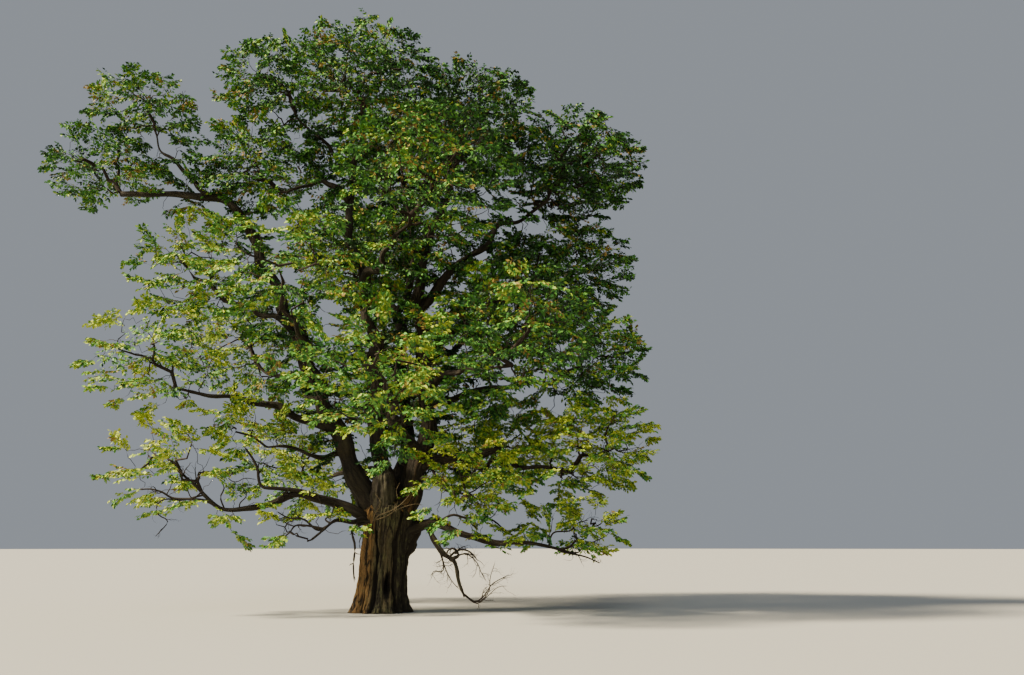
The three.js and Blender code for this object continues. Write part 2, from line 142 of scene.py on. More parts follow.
# Every bough ends in its own mass of foliage, whose middle lies at a heading in degrees, a reach
# from the trunk's axis and a height. leafy is the share of the bough from which sprays grow on it.
# lifts raises its four knees, where bow would raise them alike, and stand shifts its foot.
Bough = namedtuple(
    "Bough",
    "name parent at heading reach height spread thick lifts leafy bow sway stand",
    defaults=(None, 0.25, 0, 0, (0, 0)),
)
BOUGHS = [
    Bough(
        "left_stem", "trunk", 0.9, 174, 10.7, 16.2, 2.25, 0.34,
        (0.65, 1.5, 2.3, 2.8), 0.1, stand=(-0.42, 0),
    ),
    Bough(
        "centre_stem", "trunk", 0.92, 205, 1.3, 19.3, 3.05, 0.32,
        (-0.05, -0.2, -0.6, -0.6), 0.2, stand=(-0.05, 0.3),
    ),
    Bough(
        "right_stem", "trunk", 0.9, 352, 2.7, 18.1, 2.9, 0.35,
        (-0.5, 0.1, 0.6, 0.5), 0.1, stand=(0.45, -0.05),
    ),
    Bough("back_stem", "trunk", 0.92, 80, 3.2, 18.0, 3.1, 0.3, None, 0.2, -0.6, 0.2, (0.15, 0.45)),
    Bough(
        "low_left", "trunk", 0.76, 192, 7.2, 4.9, 2.35, 0.2,
        (0.45, 0.65, 0.25, -0.25), 0.75, stand=(-0.3, -0.1),
    ),
    Bough(
        "low_right", "trunk", 0.66, 345, 7.0, 2.75, 1.7, 0.18,
        (0.5, 0.4, 0.1, 0.2), 0.45, stand=(0.3, -0.1),
    ),
    Bough(
        "low_left_twiggy", "trunk", 0.8, 215, 3.5, 2.9, 1.35, 0.11,
        (0.25, 0.35, 0.3, 0.2), 0.8, stand=(-0.4, -0.3),
    ),
    Bough("left_lower", "left_stem", 0.12, 184, 4.9, 6.4, 1.9, 0.12, (0.2, -0.05, 0.25, 0.2), 0.6),
    Bough("left_mid", "left_stem", 0.2, 184, 8.0, 8.6, 2.65, 0.18, (0.1, 0.3, 0.2, 0.1)),
    Bough("left_upper", "left_stem", 0.4, 176, 6.8, 12.2, 2.75, 0.15, (0.45, 0.55, 0.45, 0.25)),
    Bough("upper_left_tuft", "left_stem", 0.84, 174, 9.5, 18.4, 2.15, 0.11, bow=-0.2, sway=0.1),
    Bough("front_left_mid", "left_stem", 0.34, 238, 6.2, 10.7, 2.9, 0.16, bow=0.3),
    Bough("front_low", "right_stem", 0.15, 268, 6.6, 7.3, 2.85, 0.2, leafy=0.55, bow=0.5, sway=0.3),
    Bough("right_low", "right_stem", 0.12, 354, 7.5, 5.8, 2.45, 0.19, (0.3, 0.5, 0.5, 0.2), 0.6),
    Bough(
        "right_lower_inner", "right_stem", 0.08, 318, 4.0, 4.4, 1.85, 0.11,
        (0.35, 0.45, 0.4, 0.25), 0.6,
    ),
    Bough("right_mid", "right_stem", 0.3, 2, 7.3, 9.2, 2.6, 0.16, (-0.1, 0.05, 0.15, 0.15)),
    Bough("right_upper", "right_stem", 0.42, 8, 7.1, 12.8, 2.5, 0.15, (0.3, 0.5, 0.65, 0.5)),
    Bough("right_shoulder", "right_stem", 0.54, 358, 6.9, 16.5, 2.8, 0.18, (0.15, 0.35, 0.25, 0.1)),
    Bough("front_right_mid", "right_stem", 0.34, 308, 6.6, 9.0, 2.8, 0.16, bow=0.2),
    Bough("front_upper", "centre_stem", 0.56, 284, 5.0, 14.2, 3.1, 0.16, bow=0.2),
    Bough("upper_left", "centre_stem", 0.8, 178, 5.0, 16.1, 2.5, 0.14, (0.4, 0.7, 0.6, 0.3)),
    Bough("top_left", "centre_stem", 0.84, 176, 4.3, 19.3, 2.5, 0.1, bow=0.2),
    Bough("back_upper", "back_stem", 0.55, 100, 6.4, 14.9, 3.3, 0.16, bow=0.2),
    Bough("back_left_mid", "left_stem", 0.28, 138, 7.6, 10.4, 3.0, 0.17, bow=0.2),
    Bough("back_mid", "back_stem", 0.34, 88, 7.6, 9.8, 3.0, 0.17, bow=0.3),
    Bough("back_right_mid", "right_stem", 0.4, 40, 7.0, 12.3, 3.1, 0.17, bow=0.2),
    Bough("back_low_left", "back_stem", 0.1, 122, 7.0, 5.8, 2.7, 0.17, bow=0.3),
    Bough("back_low_right", "back_stem", 0.14, 50, 7.2, 6.4, 2.8, 0.17, bow=0.3),
]

# The stump of the old leader, and the dead limb under the low right bough
LEADER_KNEES = [(0.04, -0.12, 2.7), (0.02, -0.32, 3.4), (-0.02, -0.5, 4.8)]
DEAD_START = 0.2  # share of the way along the low right bough
DEAD_RADIUS = 0.115
DEAD_KNEES = [
    (0.25, -0.1, -0.55),
    (0.55, -0.2, -1.0),
    (0.95, -0.25, -1.3),
    (1.1, -0.3, -1.95),
    (1.3, -0.35, -2.45),
]
# Crooked bare twigs, by the limb that carries them: the share of its length where each one starts,
# its radius there, and its knees
DEAD_FORKS = {
    "dead": [
        (0.55, 0.055, (2.62, -0.85, 1.9), (2.45, -0.9, 2.14), (2.24, -0.85, 2.05), (2.2, -0.8, 1.8)),
        (0.5, 0.045, (2.5, -0.75, 2.02), (2.75, -0.8, 2.1), (3.05, -0.75, 2.0), (3.3, -0.8, 1.7)),
        (0.52, 0.03, (2.9, -0.5, 1.95), (3.28, -0.5, 1.66), (3.42, -0.55, 1.34), (3.62, -0.6, 1.0)),
        (0.95, 0.032, (3.22, -0.7, 0.36), (3.56, -0.7, 0.6), (3.8, -0.75, 0.95), (4.4, -0.8, 1.27)),
        (0.96, 0.024, (3.3, -0.72, 0.34), (3.68, -0.74, 0.7), (3.72, -0.76, 1.15), (3.9, -0.78, 1.72)),
        (0.97, 0.022, (3.26, -0.74, 0.3), (3.6, -0.78, 0.52), (3.98, -0.82, 0.84), (4.34, -0.84, 0.88)),
        (0.36, 0.032, (2.11, -0.9, 1.45), (1.95, -0.95, 1.36), (1.8, -1.0, 1.4), (1.65, -1.0, 1.2)),
        (0.3, 0.03, (2.2, -0.5, 1.45), (2.35, -0.5, 1.15), (2.5, -0.5, 0.95), (2.7, -0.5, 0.75)),
    ],
}
LOW_TWIGS = {
    "low_left": [
        (0.34, 0.085, (-2.7, -0.9, 4.03), (-3.5, -0.95, 4.12), (-4.05, -0.95, 4.17), (-4.19, -0.95, 4.45),
         (-4.23, -0.95, 4.75), (-4.41, -0.95, 5.11), (-4.74, -0.95, 5.55)),
        (0.86, 0.028, (-5.35, -1.3, 3.8), (-5.25, -1.3, 4.1), (-5.35, -1.3, 4.4), (-5.17, -1.3, 4.66),
         (-4.98, -1.3, 4.66), (-5.12, -1.3, 4.42), (-4.87, -1.3, 4.31), (-4.6, -1.3, 4.44),
         (-4.2, -1.2, 4.4)),
        (0.79, 0.024, (-4.72, -1.2, 3.62), (-4.56, -1.2, 3.8), (-4.54, -1.2, 3.96), (-4.68, -1.2, 4.14),
         (-4.78, -1.2, 4.31)),
        (0.97, 0.06, (-6.2, -1.3, 4.2), (-6.5, -1.3, 4.45), (-6.9, -1.3, 4.72), (-7.4, -1.3, 4.7)),
        (0.91, 0.055, (-5.8, -1.25, 3.68), (-6.24, -1.25, 3.74), (-6.88, -1.25, 3.77), (-7.25, -1.3, 3.97),
         (-7.64, -1.3, 4.06), (-8.0, -1.3, 4.03)),
        (0.99, 0.034, (-6.66, -1.25, 3.7), (-7.11, -1.25, 3.74), (-7.38, -1.25, 3.54), (-7.3, -1.25, 3.22),
         (-7.0, -1.25, 3.0), (-7.38, -1.25, 2.5)),
    ],
    "low_right": [
        (1, 0.045, (6.15, -1.6, 2.02), (6.55, -1.6, 1.94), (6.95, -1.6, 1.84), (7.4, -1.6, 1.64)),
        (0.95, 0.036, (5.66, -1.6, 2.42), (5.83, -1.6, 2.68), (6.36, -1.6, 2.73), (6.63, -1.6, 2.98),
         (7.03, -1.6, 3.1)),
        (0.99, 0.034, (6.6, -1.6, 2.0), (6.86, -1.6, 2.26), (7.3, -1.6, 2.4), (7.66, -1.6, 2.6)),
        (0.26, 0.05, (2.38, -0.8, 3.27), (2.87, -0.8, 3.17), (3.35, -0.8, 3.2), (3.84, -0.8, 3.07),
         (4.33, -0.8, 2.66), (4.82, -0.8, 2.46)),
    ],
    "right_low": [
        (0.09, 0.06, (1.95, -0.6, 4.3), (2.36, -0.6, 4.06), (2.87, -0.6, 4.0), (3.37, -0.6, 3.79)),
    ],
    "low_left_twiggy": [
        (0.75, 0.045, (-2.15, -1.4, 2.75), (-2.6, -1.4, 3.09), (-3.1, -1.4, 3.14), (-3.5, -1.4, 3.35)),
        (0.8, 0.045, (-2.45, -1.5, 2.88), (-2.85, -1.5, 2.88), (-3.05, -1.5, 2.64), (-3.4, -1.5, 2.37)),
        (0.7, 0.035, (-1.9, -1.2, 3.1), (-1.7, -1.2, 3.25), (-1.66, -1.2, 3.4), (-1.6, -1.2, 3.65)),
    ],
}
# The dead twigs that hang in front of the trunk, and the shoots that cross its top, start on a line
# across the trunk's front.
FRONT_KNEES = [(-0.42, -0.66, 3.06), (0.1, -0.9, 3.1)]
HANGING_TWIGS = {
    "front": [
        (0, 0.055, (-1.0, -0.8, 2.78), (-0.9, -0.82, 2.22), (-0.93, -0.82, 1.56), (-0.88, -0.82, 1.0)),
        (0, 0.03, (-0.9, -0.95, 3.0), (-0.62, -1.05, 2.7), (-0.75, -1.05, 2.4), (-0.72, -1.05, 2.1)),
    ],
}
FORK_SHOOTS = {
    "front": [
        (0.2, 0.024, (-0.1, -1.05, 3.25), (0.27, -1.08, 3.39), (0.66, -1.05, 3.66), (0.95, -1.0, 4.01)),
        (0.2, 0.017, (-0.25, -1.05, 3.3), (-0.09, -1.05, 3.55), (-0.11, -1.05, 3.75), (-0.3, -1.0, 4.0)),
        (0.2, 0.018, (0.1, -1.0, 3.2), (0.52, -1.05, 3.45), (1.06, -1.05, 3.62), (1.4, -1.0, 3.6)),
        (0.2, 0.015, (0.3, -1.0, 3.3), (0.5, -1.0, 3.7), (0.45, -1.0, 4.1), (0.6, -1.0, 4.4)),
    ],
}

# The photograph's camera
CAMERA_PLACE = (0, -35.7, 2.2536)
CAMERA_PITCH = 11.7734
CAMERA_YAW = 7.2986
CAMERA_LENS = 35
CAMERA_SENSOR = 36

# Small helpers


def unit(v):
    return v / np.linalg.norm(v, axis=-1, keepdims=True)


def ease(x):
    c = np.clip(x, 0, 1)
    return c * c * (3 - 2 * c)


def bump(offset, half):
    return np.exp(-((offset / half) ** 2))


def apart(a, b):
    """The angle between two headings, in degrees."""
    return np.abs((a - b + 540) % 360 - 180)


# Lines that limbs follow


class Course:
    """A smooth line through knees, with share running from 0 at its foot to 1 at its tip."""

    def __init__(self, knees):
        knees = [np.array(k, float) for k in knees]
        self.knees = np.array([2 * knees[0] - knees[1], *knees, 2 * knees[-1] - knees[-2]])

    def at(self, share):
        place = np.clip(np.asarray(share, float), 0, 1) * (len(self.knees) - 3)
        first = np.minimum(place.astype(int), len(self.knees) - 4)
        t = (place - first)[..., None]
        a, b, c, d = (self.knees[first + k] for k in range(4))
        leave, arrive = (c - a) / 2, (d - b) / 2
        cubic = 2 * (b - c) + leave + arrive
        square = 3 * (c - b) - 2 * leave - arrive
        return ((cubic * t + square) * t + leave) * t + b

    def along(self, share):
        share = np.asarray(share, float)
        return unit(self.at(share + 1e-3) - self.at(share - 1e-3))

    def strides(self, count):
        """Points at even shares, and the distances between them."""
        points = self.at(np.linspace(0, 1, count))
        return points, np.linalg.norm(np.diff(points, axis=0), axis=1)

    def length(self):
        return float(self.strides(200)[1].sum())

    def even(self, count):
        """Points at even distances along the line."""
        fine, strides = self.strides(800)
        run = np.concatenate([[0], np.cumsum(strides)])
        want = np.linspace(0, run[-1], count)
        return np.stack([np.interp(want, run, fine[:, k]) for k in range(3)], axis=1)


def mass_middle(bough):
    turn = math.radians(bough.heading)
    return np.array([math.cos(turn) * bough.reach, math.sin(turn) * bough.reach, bough.height])


def bough_course(bough, index, foot):
    """A chord from foot to tip, bowed up, swayed sideways and kinked at four knees."""
    middle = mass_middle(bough)
    towards = unit(middle - foot)
    sink = np.array([0.5, 0.5, 0]) * towards + np.array([0, 0, MASS_FLATNESS * (0.45 + 0.25 * towards[2])])
    tip = middle - bough.spread * sink
    chord = tip - foot
    length = np.linalg.norm(chord)
    along = chord / length
    up = unit(np.array([0, 0, 1]) - along * along[2])
    side = np.cross(along, up)
    knees = [foot]
    for k in range(1, 5):
        share = k / 5
        arch = 4 * share * (1 - share)
        lift = bough.bow * arch + CROOK * length * math.sin(5.3 * index + 2.7 * k)
        if bough.lifts:
            lift = bough.lifts[k - 1]
        swing = bough.sway * arch + CROOK * length * math.cos(3.1 * index + 3.9 * k)
        knees.append(foot + chord * share + up * lift + side * swing)
    return crooked(Course([*knees, tip]), index)


def crooked(course, index):
    """The same line with a small crook at every stride between its ends."""
    shares = np.linspace(0, 1, max(6, round(course.length() / STRIDE)) + 1)
    way = course.along(shares)
    shift = np.random.default_rng(CROOK_SEED + index).normal(size=way.shape) * CROOKEDNESS
    shift -= way * (shift * way).sum(axis=1, keepdims=True)
    shift[[0, -1]] = 0
    return Course(course.at(shares) + shift)


def all_courses():
    found = {}
    for index, bough in enumerate(BOUGHS):
        if bough.parent == "trunk":
            height = TRUNK_HEIGHT * bough.at
            foot = np.array([TRUNK_LEAN * height + bough.stand[0], bough.stand[1], height])
        else:
            foot = found[bough.parent].at(bough.at)
        found[bough.name] = bough_course(bough, index, foot)
    return found


COURSES = all_courses()


def limb_radius(thick, share):
    """The radius of a bough at a share of its length, with a collar at its foot."""
    taper = TIP_SHARE + (1 - TIP_SHARE) * (1 - share) ** 1.1
    return thick * (taper + COLLAR * np.exp(-share * 14))


# Logs: a straight one is shaped, roughened and bent


def deselect():
    bpy.ops.object.select_all(action="DESELECT")


def add_object(name, data):
    made = bpy.data.objects.new(name, data)
    bpy.context.scene.collection.objects.link(made)
    return made


def keep_piece(piece, nodes):
    """Joins a finished piece to the tree's one body, in place of the solids it stands for."""
    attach(piece, "root")
    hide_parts(*nodes)


def corners_of(mesh):
    corners = np.empty(len(mesh.vertices) * 3)
    mesh.vertices.foreach_get("co", corners)
    return corners.reshape(-1, 3)


def move_corners(mesh, corners):
    mesh.vertices.foreach_set("co", corners.ravel())
    mesh.update()


def apply_modifier(log, modifier):
    bpy.context.view_layer.objects.active = log
    bpy.ops.object.modifier_apply(modifier=modifier.name)


def upright_log(name, grid, length):
    """A straight round log of radius 1, with its foot on the origin. grid is its sides and rings."""
    sides, rings = grid
    deselect()
    bpy.ops.mesh.primitive_cylinder_add(
        vertices=sides, radius=1, depth=length, end_fill_type="TRIFAN", location=(0, 0, length / 2)
    )
    log = bpy.context.object
    log.name = log.data.name = name
    bpy.ops.object.transform_apply(location=True, rotation=True, scale=True)
    bpy.context.tool_settings.mesh_select_mode = (False, True, False)
    mesh = log.data
    for parts in (mesh.polygons, mesh.vertices):
        parts.foreach_set("select", np.zeros(len(parts), bool))
    for edge in mesh.edges:
        low, high = (mesh.vertices[v].co.z for v in edge.vertices)
        edge.select = abs(high - low) > length / 2
    bpy.ops.object.mode_set(mode="EDIT")
    bpy.ops.mesh.subdivide(number_cuts=rings - 1)
    bpy.ops.object.mode_set(mode="OBJECT")
    return log


def shape_log(log, length, girth_at, lift_at=None):
    """Gives a log its shape and notes where its bark lies and how near each point is to a ridge, which sets
    the shade painted into its furrows.

    girth_at(heading in radians, share) gives the radius and the nearness, from 0 in a furrow to 1.
    """
    mesh = log.data
    corners = corners_of(mesh)
    heading = np.arctan2(corners[:, 1], corners[:, 0])
    across = np.minimum(np.hypot(corners[:, 0], corners[:, 1]), 1)
    share = np.clip(corners[:, 2] / length, 0, 1)
    radius, ridge = girth_at(heading, share)
    girth = np.maximum(radius.mean() * 0.3, np.abs(radius))
    place = np.stack([np.cos(heading) * girth, np.sin(heading) * girth, corners[:, 2]], axis=1)
    bark = mesh.attributes.new("bark_place", "FLOAT_VECTOR", "POINT")
    bark.data.foreach_set("vector", place.astype(np.float32).ravel())
    crest = mesh.attributes.new("bark_ridge", "FLOAT", "POINT")
    crest.data.foreach_set("value", np.broadcast_to(ridge, share.shape).astype(np.float32))
    corners[:, 0] = np.cos(heading) * across * radius
    corners[:, 1] = np.sin(heading) * across * radius
    if lift_at is not None:
        corners[:, 2] += lift_at(heading, share, across)
    move_corners(mesh, corners)


def roughen(log, name, size, strength, depth=2):
    """Raises and sinks a log's surface by a cloudy pattern."""
    texture = bpy.data.textures.new(name, "CLOUDS")
    texture.noise_scale = size
    texture.noise_depth = depth
    modifier = log.modifiers.new("Relief", "DISPLACE")
    modifier.texture = texture
    modifier.texture_coords = "LOCAL"
    modifier.strength = strength
    modifier.mid_level = 0.5
    apply_modifier(log, modifier)


def bend_log(log, course):
    """Bends an upright log of the course's own length along the course."""
    points = course.even(BEND_POINTS)
    data = bpy.data.curves.new("course", "CURVE")
    data.dimensions = "3D"
    data.use_path = True
    spline = data.splines.new("POLY")
    spline.points.add(len(points) - 1)
    spline.points.foreach_set("co", np.c_[points, np.ones(len(points))].ravel())
    line = add_object("course", data)
    modifier = log.modifiers.new("Bend", "CURVE")
    modifier.object = line
    modifier.deform_axis = "POS_Z"
    log.select_set(True)
    apply_modifier(log, modifier)
    bpy.data.objects.remove(line)
    bpy.data.curves.remove(data)


def keep_log(log, finish, node):
    """Smooths the log in hand, gives it its finish and joins it to the tree."""
    bpy.ops.object.shade_smooth()
    log.data.materials.append(finish)
    keep_piece(log, [node])


# Meshes of many twigs or leaves


def mesh_of(name, corners, faces, picks, finishes):
    """One joined mesh from arrays: corners, arrays of faces of one size each, and each face's finish."""
    mesh = bpy.data.meshes.new(name)
    sizes = np.concatenate([np.full(len(f), f.shape[1]) for f in faces])
    mesh.vertices.add(len(corners))
    mesh.vertices.foreach_set("co", np.asarray(corners, np.float32).ravel())
    mesh.loops.add(int(sizes.sum()))
    mesh.loops.foreach_set("vertex_index", np.concatenate([f.ravel() for f in faces]).astype(np.int32))
    mesh.polygons.add(len(sizes))
    starts = np.concatenate([[0], np.cumsum(sizes)[:-1]])
    mesh.polygons.foreach_set("loop_start", starts.astype(np.int32))
    for finish in finishes:
        mesh.materials.append(finish)
    mesh.polygons.foreach_set("material_index", np.concatenate(picks).astype(np.int32))
    mesh.update(calc_edges=True)
    mesh.validate()
    return add_object(name, mesh)


def tubes(points, radii, sides):
    """Round twigs, each along its own row of points and closed to a tip: (corners, quads, triangles)."""
    count, rings = radii.shape
    way = unit(np.gradient(points, axis=1) + 1e-9)
    guide = np.where(np.abs(way[:, :1, 2:]) > 0.9, [[[1.0, 0, 0]]], [[[0, 0, 1.0]]])
    side = unit(np.cross(way, np.broadcast_to(guide, way.shape)))
    lift = np.cross(side, way)
    turn = np.arange(sides) * 2 * math.pi / sides
    ring = side[:, :, None] * np.cos(turn)[:, None] + lift[:, :, None] * np.sin(turn)[:, None]
    body = points[:, :, None] + ring * radii[:, :, None, None]
    body = body[:, :-1].reshape(count, -1, 3)
    corners = np.concatenate([body, points[:, -1:]], axis=1)
    each = corners.shape[1]
    k = np.arange(sides)
    on = (k + 1) % sides
    rows = np.arange(rings - 2)[:, None] * sides
    quad = np.stack([rows + k, rows + on, rows + on + sides, rows + k + sides], axis=-1).reshape(-1, 4)
    last = (rings - 2) * sides
    fan = np.stack([last + k, last + on, np.full(sides, each - 1)], axis=-1)
    base = (np.arange(count) * each)[:, None, None]
    return corners.reshape(-1, 3), (base + quad).reshape(-1, 4), (base + fan).reshape(-1, 3)


def join_twigs(name, groups, finishes):
    """One mesh of several groups of twigs, each given as points, radii, sides and its finish's number."""
    corners, quads, fans, picks = [], [], [], []
    start = 0
    for points, radii, sides, pick in groups:
        places, quad, fan = tubes(points, radii, sides)
        corners.append(places)
        quads.append(quad + start)
        fans.append(fan + start)
        picks.append(pick)
        start += len(places)
    faces = quads + fans
    picks = [np.full(len(f), pick) for f, pick in zip(faces, picks * 2, strict=True)]
    piece = mesh_of(name, np.concatenate(corners), faces, picks, finishes)
    piece.data.polygons.foreach_set("use_smooth", np.ones(len(piece.data.polygons), bool))
    return piece


# Corners of a leaf's two unlike halves: share of the length, and share of the width from the midrib
NEAR_HALF = [(0.42, 0.5)]
FAR_HALF = [(0.76, 0.34), (0.36, 0.52)]


def leaf_corners(root, way, face, length, width, fold):
    """Leaves folded along the midrib, each of five corners."""
    side = unit(np.cross(way, face))
    near = side * np.cos(fold)[:, None] + face * np.sin(fold)[:, None]
    far = -side * np.cos(fold)[:, None] + face * np.sin(fold)[:, None]
    size = length[:, None]
    wide = width[:, None]
    corners = [root]
    corners += [root + way * size * s + near * wide * w for s, w in NEAR_HALF]
    corners += [root + way * size]
    corners += [root + way * size * s + far * wide * w for s, w in FAR_HALF]
    return np.stack(corners, axis=1)


def join_leaves(name, corners, picks, finishes):
    base = np.arange(len(corners))[:, None] * corners.shape[1]
    faces = [base + [0, 1, 2], base + [0, 2, 3, 4]]
    return mesh_of(name, corners.reshape(-1, 3), faces, [picks, picks], finishes)


# Finishes


class Wire:
    """A socket of a material. Sums with wires and numbers add Math nodes."""

    def __init__(self, finish, socket):
        self.finish = finish
        self.socket = socket

    def math(self, operation, *values):
        return self.finish.node("Math", {"operation": operation}, values)

    def __add__(self, other):
        return self.math("ADD", self, other)

    __radd__ = __add__

    def __sub__(self, other):
        return self.math("SUBTRACT", self, other)

    def __rsub__(self, other):
        return self.math("SUBTRACT", other, self)

    def __mul__(self, other):
        return self.math("MULTIPLY", self, other)

    __rmul__ = __mul__


# Noise drawn out along the limb by 1 / stretch, with scale marks to a metre
Pattern = namedtuple("Pattern", "stretch scale detail")
BROAD_FURROWS = Pattern(0.11, 4.6, 3)
NARROW_FURROWS = Pattern(0.2, 13.0, 3)
SCALES = Pattern(0.45, 30.0, 6)
PATCHES = Pattern(0.5, 1.6, 4)
LICHEN = Pattern(1, 4.5, 7)
GRAIN = Pattern(0.07, 22.0, 6)
DULL_PATCHES = Pattern(0.5, 2.4, 3)
CRACKS = Pattern(0.05, 9.0, 3)


class Finish:
    """A material with one Principled shader, whose other nodes are added by name."""

    def __init__(self, name, **constants):
        self.material = bpy.data.materials.new(name)
        self.material.use_nodes = True
        self.tree = self.material.node_tree
        self.shader = self.tree.nodes["Principled BSDF"]
        for socket, value in constants.items():
            self.shader.inputs[socket.replace("_", " ")].default_value = value

    def node(self, kind, settings=None, values=(), out=0):
        """Adds a node, sets it, feeds its sockets by number or name, and returns one output."""
        made = self.tree.nodes.new("ShaderNode" + kind)
        made.location = (-220 * (len(self.tree.nodes) - 2), -120 * (len(self.tree.nodes) % 5))
        for name, value in (settings or {}).items():
            setattr(made, name, value)
        pairs = values.items() if isinstance(values, dict) else enumerate(values)
        for socket, value in pairs:
            if isinstance(value, Wire):
                self.tree.links.new(value.socket, made.inputs[socket])
            else:
                made.inputs[socket].default_value = value
        return Wire(self, made.outputs[out])

    def feed(self, socket, wire):
        self.tree.links.new(wire.socket, self.shader.inputs[socket])

    def attribute(self, name, out):
        return self.node("Attribute", {"attribute_name": name}, out=out)

    def side(self):
        """How far to the right of the log's axis the bark lies."""
        return self.node("SeparateXYZ", {}, [self.attribute("bark_place", "Vector")], out="X")

    def noise(self, pattern):
        """A pattern on the bark as it lies on the straight log."""
        spot = {"Vector": self.attribute("bark_place", "Vector"), "Scale": (1, 1, pattern.stretch)}
        values = {"Vector": self.node("Mapping", {}, spot), "Scale": pattern.scale, "Detail": pattern.detail}
        return self.node("TexNoise", {}, values, "Fac")

    def ramp(self, value, low, high):
        """0 at or under low and 1 at or over high."""
        values = {"Value": value, "From Min": low, "From Max": high}
        return self.node("MapRange", {"interpolation_type": "SMOOTHSTEP"}, values)

    def furrows(self, pattern, width):
        """0 in thin wandering lines and 1 between them."""
        offset = self.noise(pattern) - 0.5
        return self.ramp(offset.math("ABSOLUTE", offset), width * 0.15, width)

    def blend(self, share, first, second):
        """A colour between two colours, which are each a wire or numbers."""
        first, second = (end if isinstance(end, Wire) else rgb(end) for end in (first, second))
        return self.node("Mix", {"data_type": "RGBA"}, {0: share, 6: first, 7: second}, out=2)

    def bumps(self, height, strength, distance):
        values = {"Height": height, "Strength": strength, "Distance": distance}
        return self.node("Bump", {}, values)


def rgb(colour):
    return (*colour, 1)


def bark_finish(name, ridges, furrow_width, wear):
    """Ridged bark: wandering furrows that run along the limb, scaly ridges between them, a little lichen,
    painted shade in the furrows and on the right side, and painted sunlight on the left.
    """
    look = bpy.context.scene.elm_bark
    bark = Finish(name, Roughness=0.9, Specular_IOR_Level=0.25)
    broad = bark.furrows(BROAD_FURROWS, furrow_width)
    narrow = bark.furrows(NARROW_FURROWS, furrow_width * 1.2)
    scales = bark.noise(SCALES)
    patch = bark.ramp(bark.noise(PATCHES), 0.4, 0.62)
    wood = bark.blend(patch * wear, ridges, look.warm_colour)
    wood = bark.blend(bark.ramp(scales, 0.42, 0.72) * (0.6 * wear), wood, look.scale_colour)
    # Painted sunlight: the bark turns warm orange on its left side, where the low sun falls
    sunward = bark.ramp(bark.side() * -1.0 + scales * 0.2, 0.36, 0.66)
    wood = bark.blend(sunward * 0.8, wood, look.painted_sun_colour)
    # Painted shade: the bark darkens on its right side, turned away from the sun
    shaded_side = bark.ramp(bark.side() + scales * 0.3, 0.42, 0.8)
    wood = bark.blend(shaded_side * 0.8, wood, look.painted_shade_colour)
    lichen = bark.ramp(bark.noise(LICHEN), 0.55, 0.68) * (0.5 * wear)
    wood = bark.blend(lichen, wood, look.lichen_colour)
    # Painted shade: the bark darkens to the furrow shade colour in the furrows, the trunk's grooves and its
    # hollow; the same relief drives the bump
    ridge = bark.ramp(bark.attribute("bark_ridge", "Fac"), 0.05, 0.6)
    relief = ridge * broad * (narrow * 0.45 + 0.55)
    bark.feed("Base Color", bark.blend(relief, look.furrow_shade_colour, wood))
    bark.feed("Roughness", 0.8 + scales * 0.18)
    bark.feed("Normal", bark.bumps(relief * 0.8 + scales * 0.4, 0.8, 0.04))
    return bark.material


DULL_WOOD = (0.022, 0.018, 0.012)
PALE_GRAIN = (0.062, 0.055, 0.034)
# Painted shade in the stump's splits and scar
HOLLOW_SHADE = (0.014, 0.011, 0.008)
# Painted shade in the fine cracks
CRACK_SHADE = (0.016, 0.012, 0.009)


def bare_wood_finish(name):
    """Weathered wood without bark, streaked along its grain and finely cracked, with painted shade in the
    cracks and in the stump's splits and scar.
    """
    wood = Finish(name, Roughness=0.85, Specular_IOR_Level=0.25)
    grain = wood.noise(GRAIN)
    patch = wood.ramp(wood.noise(DULL_PATCHES), 0.4, 0.6)
    cracks = wood.ramp(wood.noise(CRACKS), 0.4, 0.47)
    body = wood.blend(patch, bpy.context.scene.elm_bark.bare_colour, DULL_WOOD)
    body = wood.blend(wood.ramp(grain, 0.35, 0.75) * 0.6, body, PALE_GRAIN)
    # Painted shade where the wood lies far from a ridge: the stump's splits and scar
    body = wood.blend(wood.ramp(wood.attribute("bark_ridge", "Fac"), 0.1, 0.6), HOLLOW_SHADE, body)
    # Painted shade in the fine cracks
    wood.feed("Base Color", wood.blend(cracks, CRACK_SHADE, body))
    wood.feed("Roughness", 0.7 + grain * 0.25)
    wood.feed("Normal", wood.bumps(grain * 0.5 + cracks * 0.6, 0.6, 0.02))
    return wood.material


def plain_finish(name, colour, roughness):
    finish = Finish(name, Roughness=roughness, Specular_IOR_Level=0.2)
    finish.shader.inputs["Base Color"].default_value = rgb(colour)
    return finish.material


def shared(name, make, *values):
    """A material that several pieces wear, made once."""
    return bpy.data.materials.get(name) or make(name, *values)


def bare_wood():
    return shared("weathered_wood", bare_wood_finish)


# Colour and roughness
TWIG_FINISHES = {
    "old_twig": ((0.019, 0.014, 0.01), 0.9),
    "young_twig": ((0.045, 0.029, 0.015), 0.8),
    "dry_twig": ((0.022, 0.017, 0.012), 0.85),
    "shoot": ((0.1, 0.076, 0.04), 0.8),
}
LEAF_ROUGHNESS = 0.6
# Leaf tones for painted sunlight and shade, from the lightest leaves to the darkest, and the brownish ones
# last
LEAF_TONES = ("lime", "yellow", "green", "deep", "shade", "amber")
LEAST_LIGHT = (0.86, 0.64, 0.42, 0.24)  # of the first four tones
AMBER = LEAF_TONES.index("amber")


def twig_finishes(*names):
    return [shared(name, plain_finish, *TWIG_FINISHES[name]) for name in names]


def leaf_finishes():
    look = bpy.context.scene.elm_foliage
    return [shared(f"{tone}_leaf", plain_finish, getattr(look, tone), LEAF_ROUGHNESS) for tone in LEAF_TONES]


# The trunk

TRUNK_BARK = (0.045, 1.0)  # width of its furrows, and how scaly and grown with lichen it is
# Number, drift and seed of the ribs on the trunk and the stump
BROAD_RIBS = (14, 1.1, 3)
FINE_RIBS = (44, 1.6, 8)
STUMP_RIBS = (10, 1.4, 5)


